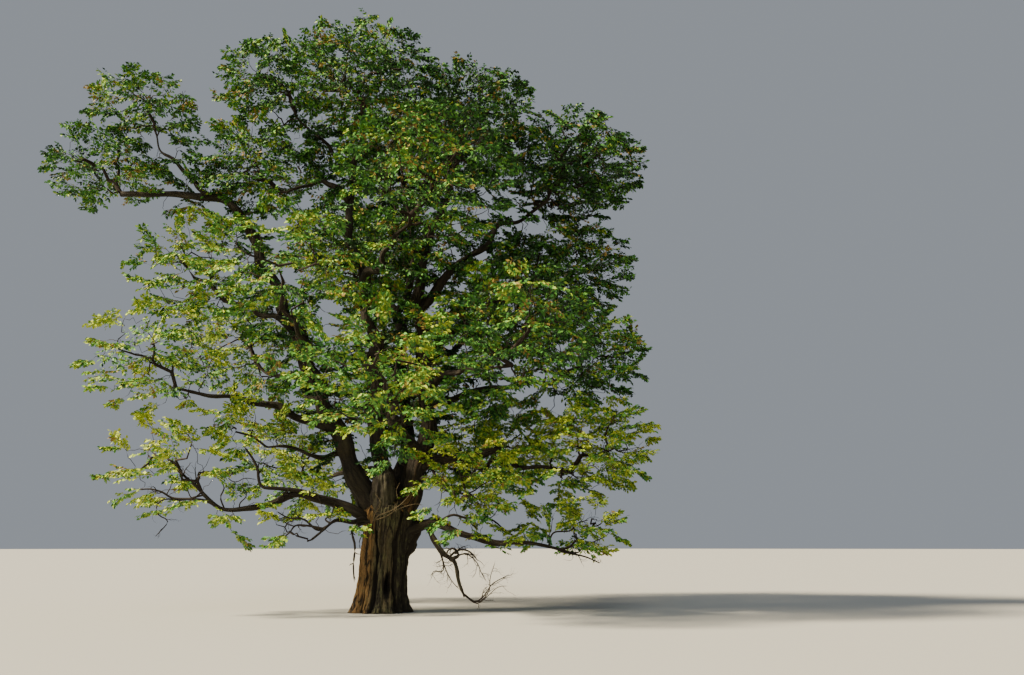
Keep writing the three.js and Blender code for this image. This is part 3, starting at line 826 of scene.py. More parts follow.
def trunk_radius(heading, share):
    """The radius of the trunk at a heading in radians and a share of its height."""
    size = bpy.context.scene.elm_trunk
    z = TRUNK_HEIGHT * share
    degrees = np.degrees(heading)
    low = np.exp(-z / FLARE_HEIGHT)
    rise = ease((z - SHOULDER_HEIGHT) / (TRUNK_HEIGHT - SHOULDER_HEIGHT))
    r = size.radius + size.flare * low * 0.6 + SHOULDER * rise
    for root in ROOTS:
        r = r + root.reach * low * bump(apart(degrees, root.heading), root.half)
    r = r + 0.026 * np.cos(5 * heading + 1.1) + 0.018 * np.cos(9 * heading + z / 0.9)
    for swelling in (BURL, HOLLOW, WEB):
        aside = apart(degrees, swelling.heading) / swelling.half
        away = np.hypot(aside, (z - swelling.height) / swelling.tall)
        r = r + swelling.reach * np.exp(-(away**3))
    dome = np.maximum(0, (share - 0.86) / 0.14)
    return r * np.sqrt(1 - 0.72 * dome * dome)


def ribs(heading, z, count, drift, seed):
    """Long rounded ridges that wander and join, from about -1 in the furrows between them to 1."""
    whole = np.zeros_like(heading)
    for k, share in enumerate((1.0, 0.7, 0.5)):
        turns = 2 * round(count * (1 + 0.62 * k) / 2)
        phase = seed * 1.7 + k * 2.1
        wander = drift * np.sin(z * (0.9 + 0.5 * k) + phase + np.sin(heading + phase))
        whole = whole + share * (np.abs(np.sin(turns * heading / 2 + wander + phase)) ** 0.6 - 0.7)
    return whole


def grooves(heading, z):
    """How deep the trunk's grooves are, in metres."""
    degrees = np.degrees(heading)
    depth = np.zeros_like(heading)
    for k, groove in enumerate(GROOVES):
        middle = groove.heading + 5 * np.sin(1.5 * z + 2.3 * k) + 2 * np.sin(4.1 * z + k)
        width = groove.half * (1 + 0.35 * np.sin(2.2 * z + 3.1 * k))
        depth = np.maximum(depth, groove.depth * bump(apart(degrees, middle), width))
    return depth


def build_trunk():
    log = upright_log("trunk_bark", TRUNK_GRID, TRUNK_HEIGHT)
    rib_depth = bpy.context.scene.elm_trunk.rib_depth

    def girth(heading, share):
        z = TRUNK_HEIGHT * share
        fade = 1 - 0.5 * ease((share - 0.9) * 10)
        broad = ribs(heading, z, *BROAD_RIBS)
        fine = ribs(heading, z, *FINE_RIBS)
        cut = grooves(heading, z)
        relief = (broad + 0.4 * fine) * rib_depth * fade - cut
        hole = bump(apart(np.degrees(heading), HOLLOW.heading), HOLLOW.half)
        hole = hole * bump(z - HOLLOW.height, HOLLOW.tall)
        # Low in the grooves and the hollow, which get painted shade
        ridge = 0.62 + 0.4 * broad + 0.3 * fine - 9 * cut - 2.5 * hole
        return trunk_radius(heading, share) + relief - INSET, np.clip(ridge, 0, 1)

    shape_log(log, TRUNK_HEIGHT, girth)
    roughen(log, "trunk_lumps", size=0.34, strength=0.09)
    roughen(log, "bark_plates", size=0.07, strength=0.035, depth=3)
    corners = corners_of(log.data)
    corners[:, 0] += TRUNK_LEAN * corners[:, 2]
    corners[:, 2] = np.maximum(corners[:, 2], 0)
    move_corners(log.data, corners)
    finish = bark_finish("trunk_bark", bpy.context.scene.elm_bark.ridge_colour, *TRUNK_BARK)
    keep_log(log, finish, "trunk")


def build_leader():
    course = Course(LEADER_KNEES)
    length = course.length()
    leader_radius = bpy.context.scene.elm_trunk.leader_radius
    log = upright_log("broken_leader_wood", LEADER_GRID, length)

    def girth(heading, share):
        crack = ribs(heading, share * length, *STUMP_RIBS)
        plain = leader_radius * (1.08 - 0.1 * share) * np.sqrt(1 - 0.8 * share**8)
        scar = bump(apart(np.degrees(heading), 262), 9) * bump(share - 0.72, 0.16)
        # The nearness is low in the splits and the scar, which get painted shade
        return plain + crack * 0.04 - 0.07 * scar - INSET, np.clip(0.6 + 0.5 * crack - 0.6 * scar, 0, 1)

    def lift(heading, share, across):
        top = ease((share - 0.97) * 33)
        return top * (0.12 * (1 - across**2) + 0.05 * np.sin(3 * heading + 1) * across - 0.03)

    shape_log(log, length, girth, lift)
    roughen(log, "stump_lumps", size=0.3, strength=0.13)
    roughen(log, "stump_grain", size=0.08, strength=0.04)
    bend_log(log, course)
    keep_log(log, bare_wood(), "broken_leader")


# Boughs

RIB_SPACING = 0.17  # distance between a bough's ridges
LIMB_BARK = (0.05, 0.2)  # width of its furrows, and how scaly and grown with lichen it is


def build_bough(index, bough):
    course = COURSES[bough.name]
    length = course.length()
    stem = bough.thick > STEM_THICK
    log = upright_log(bough.name + "_bark", STEM_GRID if stem else BOUGH_GRID, length)
    count = max(5, round(2 * math.pi * bough.thick / RIB_SPACING))

    def girth(heading, share):
        z = share * length
        plain = limb_radius(bough.thick, share)
        knots = 1 + 0.09 * np.sin(2.3 * z + index) + 0.06 * np.sin(5.1 * z + 2 * index + np.cos(heading))
        relief = ribs(heading, z, count, 1.0, index)
        # The nearness is low between the ribs, which get painted shade
        return plain * (knots + 0.075 * relief), np.clip(0.65 + 0.55 * relief, 0, 1)

    shape_log(log, length, girth)
    roughen(log, "bough_lumps", size=0.3, strength=0.05 if stem else 0.03)
    bend_log(log, course)
    finish = shared("limb_bark", bark_finish, bpy.context.scene.elm_bark.limb_colour, *LIMB_BARK)
    keep_log(log, finish, bough.name)


def build_dead_limb():
    start = COURSES["low_right"].at(DEAD_START)
    course = Course([start, *(start + np.array(knee) for knee in DEAD_KNEES)])
    length = course.length()
    log = upright_log("dead_limb_wood", DEAD_GRID, length)

    def girth(heading, share):
        knots = 1 + 0.14 * np.sin(9 * share * length + 1.3) * np.sin(4 * share * length)
        return DEAD_RADIUS * (1 - 0.62 * share) * knots * (1 + 0.08 * np.cos(3 * heading + 4 * share)), 1.0

    shape_log(log, length, girth)
    roughen(log, "dead_lumps", size=0.12, strength=0.02)
    bend_log(log, course)
    keep_log(log, bare_wood(), "dead_limb")
    build_dead_twigs(course)


# Bare twigs

# Points of the shorter and the longer bare twigs, and steps of the finer ones that leave them
SHORT_POINTS = 14
LONG_POINTS = 24
BRUSH_STEPS = 5
LOWEST_TWIG = 0.03  # height of the dead limb's lowest twigs
# How many finer twigs leave each bare one, their length, and how far they turn at each step
DEAD_BRUSHES = [(6, 0.55, 0.4), (4, 0.3, 0.4)]
LOW_BRUSHES = [(4, 0.6, 0.5), (3, 0.35, 0.55)]
HANGING_BRUSHES = [(6, 0.28, 0.4)]
SHOOT_BRUSHES = [(4, 0.4, 0.35)]


def wandering(start, way, length, curl, rng):
    """Points along twigs that set off along way and turn as they go: an array for each start."""
    points = [start]
    axis = unit(rng.normal(size=start.shape))
    for _ in range(BRUSH_STEPS):
        axis = unit(axis + 0.9 * rng.normal(size=start.shape))
        way = unit(way + curl * np.cross(axis, way))
        points.append(points[-1] + way * (length / BRUSH_STEPS)[:, None])
    return np.stack(points, axis=1)


def tapering(first, last, steps):
    return first[:, None] + (last - first)[:, None] * np.linspace(0, 1, steps)


def brush(points, radii, rng, per, length, curl):
    """Finer twigs that leave the twigs given, per of them on each."""
    count, steps = radii.shape
    owner = np.repeat(np.arange(count), per)
    share = rng.uniform(0.25, 0.97, len(owner)) * (steps - 1)
    low = np.minimum(share.astype(int), steps - 2)
    t = (share - low)[:, None]
    start = points[owner, low] * (1 - t) + points[owner, low + 1] * t
    along = unit(points[owner, low + 1] - points[owner, low])
    out = unit(np.cross(along, rng.normal(size=along.shape)))
    way = unit(along * 0.6 + out * 0.8)
    size = length * rng.uniform(0.5, 1.2, len(owner))
    thick = radii[owner, low] * 0.6
    return wandering(start, way, size, curl, rng), tapering(thick, thick * 0.35, BRUSH_STEPS + 1)


def brushed(table, courses, steps, rng, brushes, sides=(7, 4, 3), pick=0):
    """Groups for join_twigs: the bare twigs of a table, and the finer twigs that leave each in turn."""
    lines, thick = [], []
    for limb, twigs in table.items():
        for at, radius, *knees in twigs:
            lines.append(Course([courses[limb].at(at), *knees]).even(steps))
            thick.append(radius)
    points, thick = np.array(lines), np.array(thick)
    radii = tapering(thick, thick * 0.4, steps)
    groups = [(points, radii, sides[0], pick)]
    for (per, length, curl), around in zip(brushes, sides[1:]):
        points, radii = brush(points, radii, rng, per, length, curl)
        groups.append((points, radii, around, pick))
    return groups


def build_dead_twigs(course):
    """The dead limb's forks, and the bare spray of fine twigs that they carry."""
    rng = np.random.default_rng(DEAD_SEED)
    groups = brushed(DEAD_FORKS, {"dead": course}, SHORT_POINTS, rng, DEAD_BRUSHES)
    for points, *_ in groups:
        points[..., 2] = np.maximum(points[..., 2], LOWEST_TWIG)
    piece = join_twigs("dead_limb_twigs", groups, twig_finishes("dry_twig"))
    keep_piece(piece, ["dead_limb"])


def build_low_twigs():
    """The crooked bare twigs on the low boughs."""
    groups = brushed(LOW_TWIGS, COURSES, LONG_POINTS, np.random.default_rng(LOW_SEED), LOW_BRUSHES)
    piece = join_twigs("bare_twigs", groups, twig_finishes("dry_twig"))
    keep_piece(piece, ["low_left", "low_left_twiggy", "low_right", "right_low"])


def build_trunk_shoots():
    """The dead twigs that hang in front of the trunk, and the thin shoots across its top."""
    rng = np.random.default_rng(FRONT_SEED)
    front = {"front": Course(FRONT_KNEES)}
    groups = brushed(HANGING_TWIGS, front, SHORT_POINTS, rng, HANGING_BRUSHES)
    groups += brushed(FORK_SHOOTS, front, SHORT_POINTS, rng, SHOOT_BRUSHES, (5, 3), 1)
    piece = join_twigs("trunk_shoots", groups, twig_finishes("dry_twig", "shoot"))
    keep_piece(piece, ["trunk"])


# Foliage

# Masses are round in a space whose heights are stretched, so flat planes part them.
STRETCH = np.array([1, 1, 1 / MASS_FLATNESS])
MIDDLES = np.array([mass_middle(bough) for bough in BOUGHS]) * STRETCH
SPREADS = np.array([bough.spread for bough in BOUGHS])
LOWEST_SPRAY = 2.1
TRUNK_ROOM = 1.6  # how much higher the lowest sprays are beside the trunk
OFFERED = 5000  # places offered to the sprays of a mass
BESIDE = 75  # places offered to the sprays that a bough carries along its own length
BESIDE_DEPTH = 0.34  # depth from which their size is reckoned
SKIN = 0.3  # how far the middles of sprays stay inside their mass
PERCHES = 12  # points of a bough that its twigs may grow from
LEAD_REACH = 0.3  # how far the bough's own line goes past the middle of its mass, over the spread
FORKS = 4  # stout branches in each mass, beside that line
FORK_REACH = 0.62  # how far they go from the middle, over the spread
RUN = 5  # points in each run of a twig
DETOUR = 0.28  # how much the way along the standing twigs counts in the choice of where to branch
STEEPEST = 0.35  # how far a spray may point down
# Radii of twigs
FINE_TWIG = 0.007  # from which those of sprays' stalks and of the twigs under them are reckoned
STALK_TIP = 0.0025
SIDE_TWIG = 0.005
SIDE_TWIG_TIP = 0.002
STOUT_TWIG = 0.022  # from which a twig has more sides
SPRAY_RADII = (0.5, 0.82)
SMALLEST_SPRAY = 0.3
SHRINK = 0.88  # by which a spray that reaches too far is made smaller, again and again
STALK = 1.5  # length of a spray's stalk over the spray's radius
STALK_POINTS = 5
SIDE_TWIGS = 11
LEAVES_ON_TWIG = 12
# Least and greatest length of a leaf over the setting, width over its length, and fold in radians
LEAF_LENGTHS = (0.7, 1.12)
LEAF_WIDTHS = (0.52, 0.64)
LEAF_FOLDS = (0.1, 0.5)
BOX_ROOM = 0.42  # how far leaves may pass the box of the solids
TIP_ROOM = 0.2  # how far a spray's stalk may pass it


def depth_inside(index, points):
    """How far inside a mass's own space the points lie."""
    p = points * STRETCH
    power = ((p[:, None] - MIDDLES) ** 2).sum(axis=2) - SPREADS**2
    between = np.linalg.norm(MIDDLES - MIDDLES[index], axis=1)
    near = (between > 0) & (between < SPREADS + SPREADS[index])
    planes = (power[:, near] - power[:, index : index + 1]) / (2 * between[near])
    skin = SPREADS[index] - np.linalg.norm(p - MIDDLES[index], axis=1)
    return np.minimum(skin, planes.min(axis=1)) if near.any() else skin


def beyond(index, points):
    """How far the points lie outside a mass's outer skin."""
    return np.linalg.norm(points * STRETCH - MIDDLES[index], axis=-1) - SPREADS[index]


def outside_box(points):
    """How far the points lie outside the box round the solids."""
    low, high = (np.array(corner) for corner in CAD_BOX)
    return np.maximum(low - points, points - high).max(axis=-1)


def spray_spacing(bough):
    """The least distance between sprays: less at the right and the top, and more at the front."""
    look = bpy.context.scene.elm_foliage
    x, y, z = mass_middle(bough)
    top = float(ease((z - 11) / 4))
    spacing = look.spacing * (1 - look.right_density * x / 7 * (1 - 0.5 * top) - look.top_density * top)
    return spacing * (1 + 0.16 * float(ease((-y - 2) / 3)))


def places_beside(bough, rng):
    """Places along a bough, nearer to it at the left and farther from it at the upper right."""
    x, _, z = mass_middle(bough)
    shares = rng.uniform(bough.leafy, 1.0, BESIDE)
    farthest = 1.0 + 0.7 * float(ease((x + 6) / 3)) + 0.7 * float(ease((x - 5) / 2) * ease((z - 10) / 2))
    away = unit(rng.normal(size=(BESIDE, 3))) * rng.uniform(0.4, farthest, (BESIDE, 1))
    return COURSES[bough.name].at(shares) + away


def spray_middles(index, bough, rng):
    """Middles of a mass's sprays in tiers, spread until none finds room, and which lie beside the bough."""
    tiers = np.array([1, 1, bpy.context.scene.elm_foliage.tiering])
    spacing = spray_spacing(bough)
    offered = rng.uniform(-1, 1, (OFFERED, 3)) * bough.spread * [1, 1, MASS_FLATNESS] + mass_middle(bough)
    depth = depth_inside(index, offered)
    offered, depth = offered[depth > SKIN], depth[depth > SKIN]
    offered = np.concatenate([offered, places_beside(bough, rng)])
    depth = np.concatenate([depth, np.full(BESIDE, BESIDE_DEPTH)])
    high = offered[:, 2] > LOWEST_SPRAY + TRUNK_ROOM * bump(np.hypot(offered[:, 0], offered[:, 1]), 2.6)
    offered, depth = offered[high], depth[high]
    beside_from = len(offered) - high[-BESIDE:].sum()
    room = np.linalg.norm((offered - COURSES[bough.name].at(1.0)) * tiers, axis=1)
    kept = []
    while room.max() > spacing:
        pick = int(room.argmax())
        kept.append(pick)
        room = np.minimum(room, np.linalg.norm((offered - offered[pick]) * tiers, axis=1))
    return offered[kept], depth[kept], np.array(kept) >= beside_from


class Growth:
    """The branching twigs of a mass: points, each with the point it grew from."""

    def __init__(self, bough, rng):
        course = COURSES[bough.name]
        shares = np.linspace(bough.leafy, 1, PERCHES)
        self.rng = rng
        self.places = list(course.at(shares))
        self.ways = list(course.along(shares))
        self.travelled = [0.0] * len(shares)
        self.parents = [-1] * len(shares)
        self.limits = list(limb_radius(bough.thick, shares) * 0.9)
        self.floors = [0.0] * len(shares)
        self.stout = self.limits[-1]
        self.runs = []

    def nearest(self, middle, detour=0):
        """The number of the standing point from which a twig to this middle takes the shortest way."""
        cost = np.linalg.norm(np.array(self.places) - middle, axis=1) + detour * np.array(self.travelled)
        return int(cost.argmin())

    def branch(self, parent, middle, radius, first, last):
        """Grows a stout crooked branch, as thick as these shares of the bough's tip at its ends."""
        self.grow(parent, middle, radius)
        self.floors[-RUN:] = self.stout * np.linspace(first, last, RUN)

    def grow(self, parent, middle, radius):
        """Grows a twig to the foot of a spray with this middle, and returns the foot's number and way."""
        rng = self.rng
        start = self.places[parent]
        chord = middle - start
        way = unit(chord * [1, 1, 0.5] + rng.normal(size=3) * [0.1, 0.1, 0.2])
        way = unit([way[0], way[1], np.clip(way[2], -STEEPEST, 2 * STEEPEST)])
        foot = middle - way * radius * (STALK / 2)
        gap = np.linalg.norm(foot - start) + 1e-6
        leave = unit(unit(foot - start) + 0.7 * self.ways[parent]) * gap
        arrive = unit(way + [0, 0, 0.15]) * gap
        t = np.linspace(0, 1, RUN + 1)[1:, None]
        line = (
            start * (2 * t**3 - 3 * t**2 + 1)
            + leave * (t**3 - 2 * t**2 + t)
            + foot * (3 * t**2 - 2 * t**3)
            + arrive * (t**3 - t**2)
        )
        line[:-1] += rng.normal(size=(RUN - 1, 3)) * 0.065 * gap
        first = len(self.places)
        self.places += list(line)
        self.ways += list(unit(np.gradient(np.vstack([start, line]), axis=0))[1:])
        self.travelled += [self.travelled[parent] + gap * (k + 1) / RUN for k in range(RUN)]
        self.parents += [parent, *range(first, first + RUN - 1)]
        self.limits += [1.0] * RUN
        self.floors += [0.0] * RUN
        self.runs.append((parent, first))
        return first + RUN - 1, way

    def radii(self):
        """Each point's radius, from how many sprays it carries."""
        load = np.zeros(len(self.places))
        for _, first in self.runs:
            load[first + RUN - 1] += 1
        for k in range(len(load) - 1, -1, -1):
            if self.parents[k] >= 0:
                load[self.parents[k]] += load[k]
        grown = FINE_TWIG * 1.25 * np.maximum(load, 1) ** 0.62
        return np.minimum(np.maximum(grown, self.floors), self.limits)


def grow_mass(index, bough):
    """A mass's sprays as (foot, way, radius, whether beside the bough), and its twigs' points and radii."""
    rng = np.random.default_rng(GROWTH_SEED + index)
    middles, depth, beside = spray_middles(index, bough, rng)
    course = COURSES[bough.name]
    order = np.argsort(np.linalg.norm(middles - course.at(1.0), axis=1))
    growth = Growth(bough, rng)
    centre = mass_middle(bough)
    ahead = centre + course.along(1.0) * LEAD_REACH * bough.spread
    growth.branch(len(growth.places) - 1, ahead, 0.5, 1.0, 0.6)
    turn = rng.uniform(0, 2 * math.pi) + np.arange(FORKS) * 2 * math.pi / FORKS
    for k in range(FORKS):
        away = np.array([math.cos(turn[k]), math.sin(turn[k]), rng.uniform(-0.3, 0.5)])
        goal = centre + away * FORK_REACH * bough.spread
        growth.branch(growth.nearest(goal), goal, 0.3, 0.8, 0.35)
    sprays = []
    for k in order:
        radius = float(np.clip(depth[k] * 1.5, *SPRAY_RADII)) * rng.uniform(0.85, 1.1)
        foot, way = growth.grow(growth.nearest(middles[k], DETOUR), middles[k], radius)
        while radius > SMALLEST_SPRAY:
            tip = growth.places[foot] + way * STALK * radius
            if (beside[k] or beyond(index, tip) <= 0) and outside_box(tip) < TIP_ROOM:
                break
            radius *= SHRINK
        sprays.append((growth.places[foot], way, radius, beside[k]))
    runs = np.array([[parent, *range(first, first + RUN)] for parent, first in growth.runs])
    points = np.array(growth.places)[runs]
    girth = growth.radii()[runs]
    girth[:, 0] = np.minimum(girth[:, 0], girth[:, 1] * 1.25)
    return sprays, points, girth


def spray_parts(sprays, rng):
    """The stalks, side twigs and leaves of flat sprays, with side twigs to left and right in turn."""
    foot, way, radius = (np.array([spray[k] for spray in sprays]) for k in range(3))
    count = len(sprays)
    up = np.array([0, 0, 1.0]) + rng.normal(size=(count, 3)) * 0.22
    side = unit(np.cross(way, up))
    up = np.cross(side, way)
    droop = rng.uniform(0.05, 0.3, count)

    def on_stalk(share):
        s = share[..., None]
        length = (STALK * radius)[:, None, None]
        sway = np.sin(s * 5 + foot[:, None, :1]) * 0.04 * length
        return (
            foot[:, None]
            + way[:, None] * s * length
            + side[:, None] * sway
            - np.array([0, 0, 1]) * s * s * (droop * radius)[:, None, None]
        )

    stalk = on_stalk(np.broadcast_to(np.linspace(0, 1, STALK_POINTS), (count, STALK_POINTS)))
    stalk_radii = tapering(np.full(count, FINE_TWIG * 1.2), np.full(count, STALK_TIP), STALK_POINTS)

    share = (np.arange(SIDE_TWIGS) + 0.7) / SIDE_TWIGS
    share = share + rng.uniform(-0.03, 0.03, (count, SIDE_TWIGS))
    hand = np.where(np.arange(SIDE_TWIGS) % 2, 1.0, -1.0)
    start = on_stalk(share)
    reach = radius[:, None] * (1.02 - 0.52 * share) * rng.uniform(0.75, 1.15, share.shape)
    angle = rng.normal(0.95, 0.13, share.shape) * hand
    out = way[:, None] * np.cos(angle)[..., None] + side[:, None] * np.sin(angle)[..., None]
    out = unit(out + rng.normal(size=out.shape) * [0.1, 0.1, 0.24] - np.array([0, 0, 0.1]))
    twigs = np.stack([start, start + out * reach[..., None]], axis=2).reshape(-1, 2, 3)
    twig_radii = tapering(np.full(len(twigs), SIDE_TWIG), np.full(len(twigs), SIDE_TWIG_TIP), 2)

    t = (np.arange(LEAVES_ON_TWIG) + 0.9) / LEAVES_ON_TWIG
    t = np.clip(t + rng.uniform(-0.04, 0.04, (len(twigs), LEAVES_ON_TWIG)), 0, 1)[..., None]
    first, last = twigs[:, :1], twigs[:, 1:]
    root = first + (last - first) * t
    along = unit(last - first)
    flat_up = np.repeat(up, SIDE_TWIGS, axis=0)[:, None]
    beside = unit(np.cross(along, flat_up))
    turn = np.where(np.arange(LEAVES_ON_TWIG) % 2, 0.85, -0.85) + rng.normal(0, 0.2, t.shape[:2])
    turn[:, -1] *= 0.2
    leaf_way = along * np.cos(turn)[..., None] + beside * np.sin(turn)[..., None]
    leaf_way = unit(leaf_way - np.array([0, 0, 1]) * rng.uniform(0.0, 0.8, t.shape))
    face = unit(flat_up + rng.normal(size=leaf_way.shape) * 0.8)
    return stalk, stalk_radii, twigs, twig_radii, root, leaf_way, face


def tones(index, places, sprays, rng):
    """Each leaf's colour, dealt out by spray and side twig as painted sunlight and shade with a random
    spread, some of them specked with amber.

    The low left is painted the yellowest, where the sun reaches, and the tops of masses are painted the
    lightest.
    sprays holds how light each side twig's own spray is.
    """
    look = bpy.context.scene.elm_foliage
    x, y, z = places.T
    low = ease((18 - z) / 9)
    left, right = np.maximum(-x, 0), np.maximum(x, 0)
    light = look.sunlit + 0.027 * left * low - 0.018 * right - 0.1 * (1 - low)
    light = light + (0.15 + 0.038 * right) * ease((9 - z) / 4) + 0.1 * bump(np.hypot(x, y), 3.5)
    light = light + look.top_light * (z - BOUGHS[index].height) / (MASS_FLATNESS * BOUGHS[index].spread)
    centre = bump(x - 1.5, 3)
    light = light + centre * (0.05 * bump(z - 11, 2.5) - 0.2 * ease((z - 13) / 3))
    drift = np.sin(1.3 * x + 0.8 * z + 1) + np.sin(1.1 * y - 1.6 * z) + np.sin(0.9 * x + 1.2 * y + 2)
    light = light + 0.04 * drift + sprays + rng.normal(0, 0.09, len(places))
    light = np.repeat(light, LEAVES_ON_TWIG) + rng.normal(0, 0.18, len(places) * LEAVES_ON_TWIG)
    pick = np.select([light > least for least in LEAST_LIGHT], [0, 1, 2, 3], 4)
    amber = look.amber_share * (0.3 + 2.8 * ease(0.25 + 0.4 * drift)) * (0.3 + 0.7 * ease((z - 4) / 6))
    specked = np.repeat(rng.random(len(places)) < amber, LEAVES_ON_TWIG)
    return np.where(specked & (rng.random(len(pick)) < 0.5), AMBER, pick)


def build_mass(index, bough):
    look = bpy.context.scene.elm_foliage
    node = f"foliage_{bough.name}"
    rng = np.random.default_rng(LEAF_SEED + index)
    sprays, points, girth = grow_mass(index, bough)
    stalk, stalk_radii, twigs, twig_radii, root, way, face = spray_parts(sprays, rng)
    free = np.repeat([spray[3] for spray in sprays], SIDE_TWIGS)
    within = free | (beyond(index, twigs[:, 1]) < look.overreach)
    within &= outside_box(twigs[:, 1]) < BOX_ROOM
    spray_light = np.repeat(rng.normal(0, 0.07, len(sprays)), SIDE_TWIGS)[within]
    twigs, twig_radii, free, root, way, face = (x[within] for x in (twigs, twig_radii, free, root, way, face))
    groups = [(stalk, stalk_radii, 3, 1), (twigs, twig_radii, 3, 1)]
    stout = girth[:, 1] > STOUT_TWIG
    for these, sides in ((stout, 6), (~stout, 4)):
        if these.any():
            groups.append((points[these], girth[these], sides, 0))
    wood = join_twigs(f"{node}_twigs", groups, twig_finishes("old_twig", "young_twig"))
    keep_piece(wood, [node])

    picks = tones(index, twigs.mean(axis=1), spray_light, rng)
    root, way, face = (x.reshape(-1, 3) for x in (root, way, face))
    face = unit(face - way * (face * way).sum(axis=1, keepdims=True))
    length = look.leaf_length * rng.uniform(*LEAF_LENGTHS, len(root))
    width = length * rng.uniform(*LEAF_WIDTHS, len(root))
    fold = rng.uniform(*LEAF_FOLDS, len(root))
    corners = leaf_corners(root, way, face, length, width, fold)
    within = np.repeat(free, LEAVES_ON_TWIG) | (beyond(index, corners).max(axis=1) < look.overreach)
    within &= outside_box(corners).max(axis=1) < BOX_ROOM
    leaves = join_leaves(f"{node}_leaves", corners[within], picks[within], leaf_finishes())
    keep_piece(leaves, [node])
    return len(sprays)


# Stage

FLOOR_RADIUS = 600
FLOOR_DROP = 0.004  # how far the floor lies under the flat cut
FILL_WAY = (-0.15, -0.75, 0.62)
FILL_COLOUR = (0.95, 1.0, 0.96)
# Angles in radians that the lamps seem to be wide
SUN_SOFTNESS = 0.16
FILL_SOFTNESS = 0.5


def build_stage():
    light = bpy.context.scene.elm_light
    deselect()
    bpy.ops.mesh.primitive_circle_add(
        vertices=96, radius=FLOOR_RADIUS, fill_type="NGON", location=(0, 0, -FLOOR_DROP)
    )
    floor = bpy.context.object
    floor.name = "floor"
    floor.data.materials.append(plain_finish("pale_floor", light.floor_colour, 0.9))

    world = bpy.data.worlds.new("plain_light")
    bpy.context.scene.world = world
    world.use_nodes = True
    backdrop = world.node_tree.nodes["Background"]
    backdrop.inputs["Color"].default_value = rgb(light.sky_colour)
    backdrop.inputs["Strength"].default_value = light.sky_strength

    for name, way, strength, colour, soft in (
        ("low_sun", light.sun_way, light.sun_strength, light.sun_colour, SUN_SOFTNESS),
        ("soft_fill", FILL_WAY, light.fill_strength, FILL_COLOUR, FILL_SOFTNESS),
    ):
        lamp = bpy.data.lights.new(name, "SUN")
        lamp.energy = strength
        lamp.color = tuple(colour)
        lamp.angle = soft
        holder = add_object(name, lamp)
        holder.rotation_mode = "QUATERNION"
        holder.rotation_quaternion = Vector(way).to_track_quat("Z", "Y")

    lens = bpy.data.cameras.new("photo_camera")
    lens.lens = CAMERA_LENS
    lens.sensor_width = CAMERA_SENSOR
    lens.clip_end = 2000
    camera = add_object("photo_camera", lens)
    camera.location = CAMERA_PLACE
    camera.rotation_euler = (math.radians(90 + CAMERA_PITCH), 0, math.radians(-CAMERA_YAW))
    bpy.context.scene.camera = camera


# Settings


def colour_setting(name, description, default):
    return bpy.props.FloatVectorProperty(
        name=name, description=description, default=default, subtype="COLOR", min=0, max=1
    )


def length_setting(name, description, default):
    return bpy.props.FloatProperty(
        name=name, description=description, default=default, min=0, subtype="DISTANCE", unit="LENGTH"
    )


def share_setting(name, description, default):
    return bpy.props.FloatProperty(
        name=name, description=description, default=default, min=0, max=1, subtype="FACTOR"
    )


def number_setting(name, description, default, least=0):
    return bpy.props.FloatProperty(name=name, description=description, default=default, min=least)


class ElmTrunkSettings(bpy.types.PropertyGroup):
    """Sizes of the trunk and its broken leader."""

    radius: length_setting("Radius", "Radius of the trunk above its flare", 0.79)
    flare: length_setting("Flare", "Extra radius at the ground", 0.25)
    rib_depth: length_setting("Rib depth", "Depth of the furrows between the trunk's ribs", 0.06)
    leader_radius: length_setting("Leader radius", "Radius of the broken leader", 0.42)


class ElmBarkSettings(bpy.types.PropertyGroup):
    """Colours of the bark and the bare wood, with the sunlight and shade painted on them."""

    ridge_colour: colour_setting("Ridges", "Ridges of the trunk's bark", (0.058, 0.057, 0.027))
    limb_colour: colour_setting("Limbs", "Ridges of the stems' and boughs' bark", (0.016, 0.013, 0.009))
    warm_colour: colour_setting("Warm bark", "Browner patches of bark", (0.064, 0.05, 0.024))
    # Painted shade on the right side of the bark
    painted_shade_colour: colour_setting("Painted shaded side", "Dark bark on the shaded right side", (0.022, 0.018, 0.012))
    # Painted sunlight on the left side of the bark
    painted_sun_colour: colour_setting("Painted sunlit side", "Warm bark on the dry left side", (0.22, 0.12, 0.04))
    scale_colour: colour_setting("Scales", "Paler scales on the ridges", (0.1, 0.088, 0.05))
    # Painted shade at the bottom of the furrows
    furrow_shade_colour: colour_setting("Furrows", "Bottom of the furrows", (0.012, 0.009, 0.006))
    lichen_colour: colour_setting("Lichen", "Lichen and algae on the bark", (0.1, 0.105, 0.04))
    bare_colour: colour_setting("Bare wood", "Wood that has lost its bark", (0.045, 0.041, 0.024))


